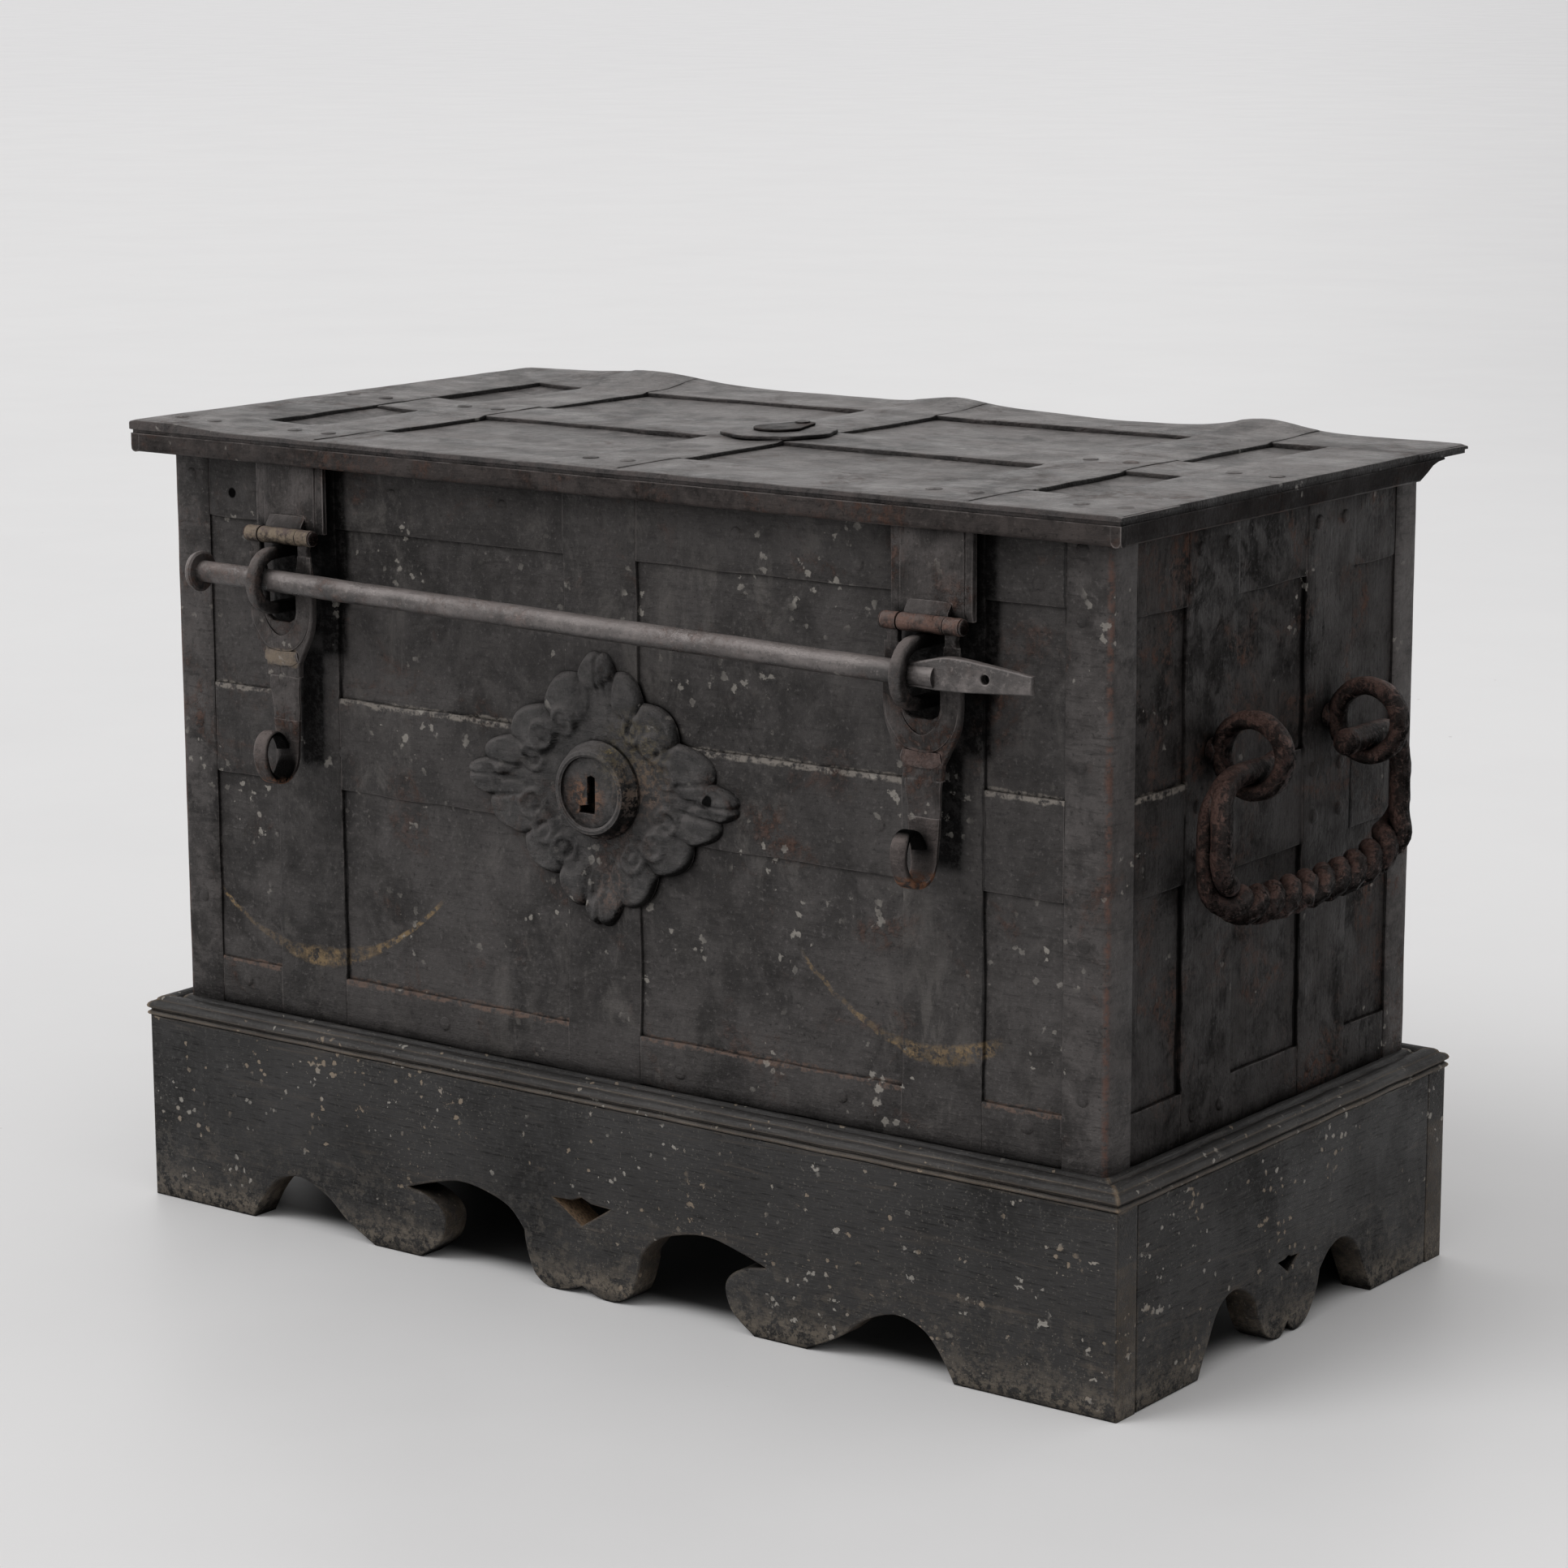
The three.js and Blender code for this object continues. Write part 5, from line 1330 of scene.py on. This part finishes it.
def hanger(x, pin_level):
    def face(u, v, h):
        return x + u, hanger_back - h, v

    foot = pin_level + 2
    plate = strap(face, -half_strap, half_strap, foot, hanger_head, x, rise=4.2, crooked=0.7)
    middle = strap(face, -23.5, 25.5, foot - 1, hanger_head, x + 1, rise=2.0, crooked=0.9, base=3.6)
    neck = bar([(x, pin_y + 3, pin_level + 1), (x, pin_y + 5, pin_level + 7),
                (x, hanger_back - 4, pin_level + 12)], (17, 3.2), (1, 0, 0), 12, 0.5)
    return together(plate, middle, neck)


for side, (x, pin_level, drop) in hasp_places.items():
    piece("hanger_plate_" + side, hanger(x, pin_level), hasp_iron, ["hanger_" + side], body="lid",
          slot="iron")
    knuckle = turned(hanger_knuckle, (x, pin_y, pin_level), (1, 0, 0), 20, 0.35)
    piece("hanger_knuckle_" + side, knuckle, lip_iron, body="lid", slot="rusty_iron")

# %% [markdown]
# ## Hasps
# A hasp is forged in one piece: two knuckles, a plate with an opening that drops over the staple, a
# tail, and a curl at the end to lift it by. The plate is cut to its outline with soft edges. The
# tail and the curl are one bar, bent forward and rolled up, that gets thinner to its tip.

# %% The hasp's plate
hasp_thickness = 5.5
slot_half = 14
slot_bottom = -60.3


def hasp_outline():
    side = smooth_line([(26, -9), (28.5, -24), (30, -45), (28.2, -65), (20.5, -81), (15.5, -90)], 6)
    outer = [(17.8, 0), (29.5, 0)] + side + [(15, -100), (-15, -100)]
    outer += [(-u, v) for u, v in reversed(side)] + [(-29.5, 0), (-17.8, 0)]
    lower = slot_bottom
    right = [(slot_half, lower / 2), (slot_half, lower + 7), (12.5, lower + 2.6), (8, lower)]
    opening = [(-17.8, -12)] + [(-u, v) for u, v in right] + [(u, v) for u, v in reversed(right)]
    return outer + opening + [(17.8, -12)]


def opening_rim():
    """The bar welded round the opening: thick below, flush with the plate behind the rod."""
    half = [(22.5, -1.1, -13), (22.8, -1.1, -30), (22.4, -1.3, -48), (19.5, -2.6, -62),
            (11, -3.2, -72.5)]
    other_half = [(-u, y, v) for u, y, v in reversed(half)]
    path = smooth_line(half + [(0, -3.2, -76.5)] + other_half, 5)
    return bar(path, (1.6, 6.2), (0, 1, 0), 12, 0.7, 0.12)


def worn_lip():
    """The flat bar below the opening, widest in its middle."""
    path = [(-15, -2.6, -85), (-9, -4, -86.5), (0, -4.4, -87), (9, -4, -86.5), (15, -2.6, -85)]
    sizes = [(1.4, 3.6), (1.9, 5.4), (1.9, 6), (1.9, 5.4), (1.4, 3.6)]
    return bar(path, sizes, (0, 1, 0), 12, 1.0, 0.5)


print("the hasp's outline has", len(hasp_outline()), "points")

# %% The tail and its curl
tail_top = 84
above_curl = 22


def tail_width(drop, level):
    return 15.4 - 5 * (level - tail_top) / (drop - tail_top)


def tail(drop):
    levels = [tail_top + k / 6 * (drop - above_curl - tail_top) for k in range(7)]
    path = [(0, 0.6 * math.sin(1.5 * k), -level) for k, level in enumerate(levels)]
    sizes = [(tail_width(drop, level), hasp_thickness / 2) for level in levels]
    return bar(path, sizes, (1, 0, 0), 16, 0.6, 0.08)


def curl(drop):
    """The end of the tail, rolled up towards the front into an open oval."""
    levels = (drop - above_curl - 1, drop - above_curl / 2)
    path = [(0, 0.2, -level) for level in levels]
    sizes = [(tail_width(drop, level), 2.7) for level in levels]
    for k in range(37):
        share = k / 36
        angle = share * math.radians(350)
        depth, height = 15.2 - 5.4 * share ** 1.5, 20 - 7.5 * share ** 1.5
        path.append((1.5 * math.sin(angle), depth * math.cos(angle) - 15.2,
                     -drop + 0.5 - height * math.sin(angle)))
        sizes.append((10.3 - 4.5 * min(1, 2.5 * share), 2.7 - 1.2 * share))
    return bar(path, sizes, (1, 0, 0), 16, 0.45, 0.1)


print("the left tail is", round(2 * tail_width(154, 154), 1), "mm wide at its end")

# %% Painted shade in the curls
curl_middle_y, curl_half_deep, curl_half_high = -12.5, 12.8, 16.9


def sooty_hollow(f, colour):
    """Painted shade inside the rolled ends, and a little bright rust under them."""
    for x, pin_level, drop in hasp_places.values():
        off_y = f.less(f.level("Y"), (pin_y + curl_middle_y) * MM)
        off_z = f.less(f.level("Z"), (pin_level - drop) * MM)
        off_y = f.math("DIVIDE", off_y, curl_half_deep * MM)
        off_z = f.math("DIVIDE", off_z, curl_half_high * MM)
        from_middle = f.math("ADD", f.both(off_y, off_y), f.both(off_z, off_z))
        # Painted shade, near black, inside the curl.
        colour = f.blend(f.between(from_middle, 1.1, 0.8), colour, grey(0.002))
        below = f.both(f.between(off_z, -0.75, -1.0), f.between(from_middle, 2.2, 1.8))
        share = f.both(below, f.between(f.cloud(150, 5, 0.75), 0.45, 0.58))
        colour = f.stain(colour, share, 0.8, (0.17, 0.08, 0.045, 1))
    return colour


curl_iron = old_iron("curl_iron", 0.045, 0.2, rust=0.6, wear=1.0, specks=0.2, worn_tone=0.3,
                     shine=0.4, relief=2.6, dust=0.7, marks=sooty_hollow)
print("finish for the curls:", curl_iron.name)

# %% The hasps and their pins
lean = math.radians(1.0)
hasp_knuckle = [(4.6, 17.9), (5.9, 18.3), (6, 20), (5.8, 25), (6, 28.5), (5.7, 29.6), (4.4, 29.9)]
pin_profile = [(2, -32.2), (4.4, -31.8), (5.4, -30.9), (5.4, -30.3), (3, -30.2), (3, 30.2),
               (5.4, 30.3), (5.4, 30.9), (4.4, 31.8), (2, 32.2)]


def on_hasp(shape, x, pin_level):
    """A shape that was drawn round the pin, leaned back a little and put in its place."""
    turn, pin = Matrix.Rotation(lean, 3, "X"), Vector((x, pin_y, pin_level))
    return [tuple(turn @ Vector(point) + pin) for point in shape[0]], shape[1]


for side, (x, pin_level, drop) in hasp_places.items():
    plate = cut_plate([hasp_outline()], hasp_thickness, 1.2,
                      lambda u, v, h: (u, hasp_thickness / 2 - h, v))
    body = together(plate, opening_rim(), tail(drop), worn_lip())
    piece("hasp_plate_" + side, on_hasp(body, x, pin_level), hasp_iron, ["hasp_" + side],
          body=side + "_hasp", slot="iron")
    ends = [turned(hasp_knuckle, (0, 0, 0), (sign, 0, 0), 20, 0.5) for sign in (-1, 1)]
    piece("hasp_knuckles_" + side, on_hasp(together(*ends), x, pin_level), lip_iron,
          body=side + "_hasp", slot="rusty_iron")
    piece("hasp_curl_" + side, on_hasp(curl(drop), x, pin_level), curl_iron, body=side + "_hasp",
          slot="rusty_iron")
    pin = turned(pin_profile, (x, pin_y, pin_level), (1, 0, 0), 18)
    piece("pin_" + side, pin, rusty_iron, ["hasp_pin_" + side], body="lid", slot="rusty_iron")

# %% [markdown]
# ## Staples and the locking rod
# A staple is a square bar bent into a U, whose legs go through the wall. The rod that locks both
# hasps is a round bar: at the left a disc stops it, and at the right it is beaten flat to a pointed
# paddle with a small hole for a padlock.

# %% The staples
strap_front = -183
staple_levels = {"left": (-274.5, 477), "right": (274.5, 467)}


def staple(x, level):
    reach, bend = 32.0, 19.5
    leg = [strap_front + 2] + [strap_front - reach * k / 4 for k in range(1, 4)]
    path = [(x, y, level + bend) for y in leg]
    for out, up in arc(bend, math.pi / 2, -math.pi / 2, 12):
        path.append((x, strap_front - reach - out, level + up))
    path += [(x, y, level - bend) for y in reversed(leg)]
    return bar(path, (4.9, 4.4), (1, 0, 0), 16, 0.55, 0.07)


for side, (x, level) in staple_levels.items():
    piece("staple_bar_" + side, staple(x, level), staple_iron, ["staple_" + side], slot="iron")

# %% The rod and its head
rod_y, rod_level = -221.0, 472.8
rod_tilt = math.atan2(10, 549)


def rod_spot(along, across, up):
    turn = Matrix.Rotation(rod_tilt, 3, "Y")
    spot = turn @ Vector((along, across, up))
    return (spot.x, rod_y + spot.y, rod_level + spot.z)


def round_rod():
    rings = []
    for along in steps_between(-337, 296, 9):
        ring = []
        for c, s in circle(1, 18):
            size = min(7.75 + 0.35 * wander(along, 9 * c, 9 * s, 26), 7.9)
            ring.append(rod_spot(along, size * c, size * s))
        rings.append(ring)
    return loft(rings)


def rod_head():
    """The stop at the left end: a disc that is a little out of round."""
    profile = [(11.5, -341), (13.8, -340.4), (14.5, -339), (14.4, -337.2), (13, -335.9),
               (8, -335.6)]
    rings = []
    for size, along in profile:
        rings.append([rod_spot(along, size * math.cos(a),
                               size * math.sin(a) * (1 + 0.03 * math.sin(3 * a)))
                      for a in turns(32)])
    return loft(rings)


rod_box = [round(c / MM, 1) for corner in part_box("locking_rod") for c in corner]
print("the packed rod reaches from", rod_box[:3], "to", rod_box[3:])

# %% The paddle, and the whole rod
paddle_start, paddle_middle = 277.5, 3.25
paddle_thickness = 6.0


def in_paddle(u, v, h):
    """A point of the paddle, which is beaten thinner towards its tip."""
    thinner = 1.5 - 0.7 * (u - paddle_start) / 90
    return rod_spot(u, (h - paddle_thickness / 2) * thinner, v)


def paddle():
    upper = smooth_line([(0, 7.6), (11, 10.5), (30, 14.2), (60, 12.2), (90, 9.2)], 5)
    lower = smooth_line([(90, -2.8), (60, -5.4), (30, -7.6), (11, -7.7), (0, -7.6)], 5)
    outline = [(paddle_start + u, v) for u, v in upper + lower]
    hole = circle(3, 16, (paddle_start + 56, paddle_middle), -1)
    return cut_plate([outline, hole], paddle_thickness, 1.3, in_paddle)


piece("rod", together(round_rod(), rod_head(), paddle()), rod_iron, ["locking_rod"], body="rod",
      slot="rod_iron")

# %% [markdown]
# ## The escutcheon
# The keyhole is framed by a chased plate: a diamond whose sides swell into leaf lobes, with rivets
# in its tips. A chaser raises each lobe and sinks a line between two of them. The plate is built
# the same way, as rings from the middle to the scalloped edge, where each point asks how near it is
# to the lobes, to the sunk lines, to the scrolls and to the rivets, and stands high or low for it.

# %% The escutcheon's outline
plate_x, plate_z = -5.0, 354.0
plate_half_w, plate_half_h = 116.0, 93.0
lobe_ends = [0, 0.16, 0.42, 0.68, 0.88, 1]


def escutcheon_edge():
    """The scalloped outline and the points where two lobes meet."""
    edge, meets = [], []
    for quarter in range(4):
        a0, a1 = math.pi / 2 * quarter, math.pi / 2 * (quarter + 1)
        start = Vector((plate_half_w * math.cos(a0), plate_half_h * math.sin(a0)))
        end = Vector((plate_half_w * math.cos(a1), plate_half_h * math.sin(a1)))
        for s0, s1 in zip(lobe_ends, lobe_ends[1:]):
            p, q = start.lerp(end, s0), start.lerp(end, s1)
            top = start.lerp(end, (s0 + s1) / 2) * (1 + 0.6 * (q - p).length / plate_half_h)
            meets.append(p)
            for k in range(18):
                t = k / 18
                edge.append(p * (1 - t) ** 2 + top * 2 * t * (1 - t) + q * t * t)
    return edge, meets


plate_edge, lobe_meets = escutcheon_edge()
print("the escutcheon's outline has", len(plate_edge), "points and", len(lobe_meets), "lobes")


# %% The escutcheon's relief
def lobes_of_plate():
    """Middle and size of each raised lobe, from the points where the lobes meet."""
    lobes = []
    for i, first in enumerate(lobe_meets):
        second = lobe_meets[(i + 1) % len(lobe_meets)]
        width = (second - first).length
        middle = (first + second) / 2
        lobes.append((middle * (1 - 0.16 * width / plate_half_h), 0.6 * width))
    return lobes


plate_lobes = lobes_of_plate()
tip_rivets = [Vector(spot) for spot in ((88, 2), (2, -72), (4, 74), (-86, 4))]
leaf_tips = [Vector(tip) for tip in ((plate_half_w, 0), (-plate_half_w, 0), (0, plate_half_h),
                                     (0, -plate_half_h))]
scroll_middles = [Vector((sx * u, sz * v)) for u, v in ((58, 16), (30, 44), (48, 33))
                  for sx in (-1, 1) for sz in (-1, 1)]


def away_from_line(point, a, b):
    share = max(0.0, min(1.0, (point - a).dot(b - a) / (b - a).length_squared))
    return (point - a.lerp(b, share)).length, share


def bell(distance, width, power=2):
    return math.exp(-(distance / width) ** power)


def plate_rise(point, share):
    rise = 1.7 + 0.5 * wander(point.x, point.y, 0, 15)
    dome = 0.0
    for middle, size in plate_lobes:
        near = (point - middle).length / size
        if near < 1:
            dome = max(dome, 4.6 * math.sqrt(1 - near * near) - 1.2 * bell(near, 0.3))
    rise += dome
    for middle in scroll_middles:
        gap = (point - middle).length
        rise += 2.6 * bell(gap - 8.5, 2.4) + 1.8 * bell(gap, 3)
    for tip in leaf_tips:
        gap, along = away_from_line(point, tip * 0.42, tip * 0.97)
        rise += 2.8 * bell(gap, 5.0) * along
    for meet in lobe_meets:
        gap, along = away_from_line(point, meet * 0.6, meet)
        rise -= 2.4 * (0.3 + 0.7 * along) * bell(gap, 1.9)
    for spot in tip_rivets:
        rise += 2.2 * bell((point - spot).length, 4.0, 4)
    rise *= 1 - 0.75 * max(0, (share - 0.965) / 0.035)
    return min(max(rise, 0.5), 8.2)


print("raised lobes:", len(plate_lobes), "- scrolls:", len(scroll_middles))


# %% The escutcheon plate
def escutcheon():
    ring_count = 44
    rings = []
    for i in range(ring_count):
        share = (i + 1) / ring_count
        ring = []
        for edge_point in plate_edge:
            point = edge_point * share
            rise = plate_rise(point, share)
            ring.append((plate_x + point.x, strap_front - rise, plate_z + point.y))
        rings.append(ring)
    rings.append([(plate_x + p.x, strap_front + 0.4, plate_z + p.y) for p in plate_edge])
    return loft(rings)


piece("escutcheon_plate", escutcheon(), lock_iron, ["escutcheon"], slot="iron", sharp=60)

# %% [markdown]
# ## The boss
# Over the keyhole sits a round boss like the rim of a small bowl: a sloping collar, a rounded ridge
# and a flat face, pierced by the keyhole. The collar is turned, and the face is a plate cut with
# the keyhole as its hole. Rust has run from the keyhole, where every key left its oil.

# %% The boss and its keyhole
boss_collar = turned([(34, 2), (34, 4.5), (32.6, 6.4), (31.2, 9), (30.4, 12.4), (28.6, 14.9),
                      (26.2, 15.4), (24.6, 14.4), (24.2, 12.2), (24.6, 8), (20, 4)],
                     (plate_x, strap_front, plate_z), (0, -1, 0), 64, 0.3)
keyhole_outline = [(-3.3, 10), (0, 11.2), (3.3, 10), (3.3, -9.2), (2.6, -15), (-10, -15),
                   (-10, -10.4), (-3.3, -9.2)]
face_back = -190
boss_face = cut_plate([circle(25, 48), keyhole_outline[::-1]], 5, 0.8,
                      lambda u, v, h: (plate_x + u, face_back - h, plate_z + v))
piece("boss", together(boss_collar, boss_face), lock_iron, ["keyhole_boss"], slot="iron")

# %% [markdown]
# ## Eyes and bails
# On each side two ring eyes hold a drop handle. The smith split a bar, twisted its two strands
# together for the grip, and left the ends round, with a knob on each so they can't slip out of the
# eyes. The strands are two bars whose paths circle round a common line: a fixed way apart in the
# legs and turning steadily in the grip.

# %% The eyes
eye_x, eye_level = 431, 408.0
eye_radius = 23.4


def eye(side, y):
    ring = [(u, y, v) for u, v in circle(eye_radius, 36, (side * eye_x, eye_level))]
    collar = bar(ring, (6.9, 6.2), (0, 1, 0), 14, 0.8, 0.1, closed=True)
    shank = turned([(5.5, 0), (5.5, 12), (8.5, 13.5), (8.5, 16), (6.5, 19)],
                   (side * 387, y, eye_level), (side, 0, 0), 18, 0.3)
    washer = turned([(10, 0), (10, 2.6), (8, 4)], (side * 393, y, eye_level), (-side, 0, 0), 20,
                    0.4)
    return together(collar, shank, washer)


print("the eyes stand", side_upright_places[1] - side_upright_places[0], "mm apart")

# %% The line and the twist of a bail
bail_middle, bail_level = 12.0, 397.8
twists = 5.5


def bent_line(p0, p1, p2, p3, steps):
    """The curve that starts at p0 towards p1 and comes to p3 from p2, without its last point."""
    return [tuple(a * (1 - t) ** 3 + 3 * b * t * (1 - t) ** 2 + 3 * c * t * t * (1 - t) + d * t ** 3
                  for a, b, c, d in zip(p0, p1, p2, p3))
            for t in [k / steps for k in range(steps)]]


def bail_line():
    half = [(46 + 44.25 * k / 5, 0) for k in range(5)]
    half += bent_line((90.25, 0), (121, 0), (121, -22.5), (121, -45), 12)
    half += bent_line((121, -45), (121, -90), (75, -90), (0, -90), 40)
    return half + [(0, -90)] + [(-y, z) for y, z in reversed(half)]


def ramp(value, low, high):
    share = max(0.0, min(1.0, (value - low) / (high - low)))
    return share * share * (3 - 2 * share)


def in_grip(level):
    """1 down in the grip and 0 in the legs, where the strands don't turn."""
    return ramp(-level / 90, 0.55, 0.9)


def length_in_grip(line):
    """For each point of the line, how much of the grip lies before it."""
    lengths = [0.0]
    for first, second in zip(line, line[1:]):
        grip = in_grip((first[1] + second[1]) / 2)
        lengths.append(lengths[-1] + grip * math.dist(first, second))
    return lengths


print("the grip is", round(length_in_grip(bail_line())[-1]), "mm long")


# %% The bails in their eyes
def bail(side):
    """Two strands: one before the other in the near leg, side by side in the far one."""
    line = bail_line()
    turned_by = length_in_grip(line)
    shapes = []
    last = len(line) - 1
    for strand in (0, 1):
        path, sizes = [], []
        for i, (y, z) in enumerate(line):
            before, after = line[max(i - 1, 0)], line[min(i + 1, last)]
            way = Vector((after[0] - before[0], after[1] - before[1])).normalized()
            leg, grip = ramp(-z / 90, 0.0, 0.35), in_grip(z)
            angle = math.pi * (strand + 0.15 + (2 * twists + 0.45) * turned_by[i] / turned_by[-1])
            apart = 1.0 + 6.0 * leg - 0.8 * grip
            out, off = apart * math.cos(angle), apart * math.sin(angle)
            path.append((side * (eye_x + off), bail_middle + y + way.y * out,
                         bail_level + z - way.x * out))
            size = 7.4 - 0.4 * leg + 0.3 * grip
            sizes.append((size, size))
        shapes.append(bar(path, sizes, (1, 0, 0), 14, 1.0, 0.12))
    for end in (-1, 1):
        knob = [(2, -9), (6.5, -7), (9, -2.5), (9.4, 2), (7, 6.5), (2.5, 9)]
        centre = (side * eye_x, bail_middle + end * 46, bail_level)
        shapes.append(turned(knob, centre, (0, 1, 0), 20, 0.9))
    return together(*shapes)


for name, side in (("right", 1), ("left", -1)):
    for depth, y in zip(("front", "back"), side_upright_places):
        piece("eye_ring_" + name + "_" + depth, eye(side, y), rusty_iron,
              ["eye_" + name + "_" + depth], slot="rusty_iron")
    piece("bail_strands_" + name, bail(side), rusty_iron, ["bail_" + name], body=name + "_bail",
          slot="rusty_iron", sharp=70)

# %% [markdown]
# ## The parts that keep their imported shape
# The floor, the mouth frame, the hinges, the lock and the bearers are plain parts whose packed
# shape is right. They only need soft edges, which two modifiers give: one melts flat triangles
# together, and the other rounds what is left of the sharp edges. Then they get their finishes.

# %% Soft edges and finishes for the rest
kept_finishes = {
    "stand_left_bearer": sawn_wood, "stand_right_bearer": sawn_wood, "floor_plate": back_iron,
    "mouth_frame": edge_iron, "lock_plate": lock_iron, "key_disc": lock_iron,
}
for side in ("left", "right"):
    kept_finishes.update({
        "hinge_body_leaf_" + side: hasp_iron, "hinge_lid_leaf_" + side: hasp_iron,
        "hinge_pin_" + side: rusty_iron,
    })
for side in ("left", "right", "front", "back"):
    kept_finishes["lock_bolt_" + side] = rod_iron
for name, finish in kept_finishes.items():
    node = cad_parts[name]
    node.data.materials.clear()
    node.data.materials.append(finish)
    melt = node.modifiers.new("melt_flats", "DECIMATE")
    melt.decimate_type = "DISSOLVE"
    melt.angle_limit = math.radians(2)
    soften = node.modifiers.new("soft_edges", "BEVEL")
    soften.width = 0.0006
    soften.segments = 2
    soften.angle_limit = math.radians(35)
print("kept packed parts:", len(kept_finishes))

# %% [markdown]
# ## The studio floor
# The box stood on a pale, smooth studio floor that reaches up behind it without a line. A large
# floor does the same here: a curved backdrop would need a place for its bend, and a floor that
# runs to the horizon needs none. It gets a little darker to the right, where less light falls, and
# it has a few crumbs. Under the stand, where no light reaches, a dark shadow is painted on it.

# %% The floor
half_floor = 400
floor_data = bpy.data.meshes.new("floor")
floor_data.from_pydata([(-half_floor, -half_floor, 0), (half_floor, -half_floor, 0),
                        (half_floor, half_floor, 0), (-half_floor, half_floor, 0)], [],
                       [(0, 1, 2, 3)])
floor = bpy.data.objects.new("floor", floor_data)
bpy.context.scene.collection.objects.link(floor)


def floor_tones(f):
    """Nearly white, with a grey veil over the far right."""
    away, aside = f.along((-0.6, 0.8, 0)), f.along((0.8, 0.6, 0))
    colour = f.blend(f.between(away, -1.5, 3.0), (0.735, 0.732, 0.735, 1), (0.75, 0.75, 0.755, 1))
    colour = f.blend(f.between(away, 5, 30), colour, (0.715, 0.715, 0.725, 1))
    slant = f.math("DIVIDE", aside, f.math("ADD", f.math("ABSOLUTE", away), 3.0))
    veil = f.both(f.between(slant, 0.08, 0.22, 0, 0.45), f.between(away, 1, 6))
    return f.blend(veil, colour, (0.53, 0.53, 0.54, 1))


def studio_floor():
    f = Finish("studio_floor")
    colour = floor_tones(f)
    crumbs = f.math("DIVIDE", f.cells(16), f.between(f.cloud(9, 3), 0.5, 0.7, 0.001, 0.05))
    colour = f.blend(f.between(crumbs, 1.0, 0.6, 0, 0.5), colour, (0.3, 0.28, 0.26, 1))
    colour = f.blend(f.between(f.cloud(2.2, 6, 0.6), 0.35, 0.75, 0, 0.06), colour,
                     (0.45, 0.45, 0.46, 1))
    # A painted shadow on the floor under the stand.
    below = f.both(f.band(f.level("X"), -0.385, 0.385, 0.03),
                   f.band(f.level("Y"), -0.165, 0.19, 0.03))
    colour = f.stain(colour, below, 0.97, grey(0.012))
    rough = f.between(f.cloud(3, 5), 0.3, 0.7, 0.42, 0.55)
    return f.finish(colour, rough, f.bump(f.cloud(90, 3), 0.0001))


floor_data.materials.append(studio_floor())
print("floor:", 2 * half_floor, "m wide")

# %% [markdown]
# ## The light
# Light comes from a big soft source at the upper left front, with a pale room all around, so
# shadows are soft and iron shows a quiet sheen. The room is a smooth glow around one direction. The
# lamp is a sun with a wide angle: it throws the one soft shadow. Rays that have met something shiny
# see a room that is never darker than a bright wall, so that the iron has something to mirror.


# %% The room's glow and the lamp
class Room(PlaceSteps):
    """The same steps for the room around the box, where a place is a direction to look in."""

    def __init__(self, name):
        self.world = bpy.data.worlds.new(name)
        self.world.use_nodes = True
        self.tree = self.world.node_tree
        self.shader = self.tree.nodes["Background"]
        self.place = self.add("ShaderNodeTexCoord").outputs["Generated"]


room = Room("pale_room")
glow = room.between(room.along((-0.3, -0.45, 0.84)), -0.5, 1.0, 0.355, 0.95)
mirrored = room.both(room.add("ShaderNodeLightPath").outputs["Is Glossy Ray"], 0.75)
room.tree.links.new(room.math("MAXIMUM", mirrored, glow), room.shader.inputs["Strength"])
room.shader.inputs["Color"].default_value = (1.0, 0.99, 0.985, 1)
bpy.context.scene.world = room.world

key_data = bpy.data.lights.new("soft_key", "SUN")
key_data.angle = math.radians(32)
key_data.energy = 0.98
key_lamp = bpy.data.objects.new("soft_key", key_data)
bpy.context.scene.collection.objects.link(key_lamp)
light_falls = Vector((0.42, 0.58, -0.70))
key_lamp.rotation_euler = light_falls.to_track_quat("-Z", "Y").to_euler()
bpy.context.scene.view_settings.view_transform = "Standard"
print("lamp:", key_data.name, "strength", round(key_data.energy, 2))

# %% [markdown]
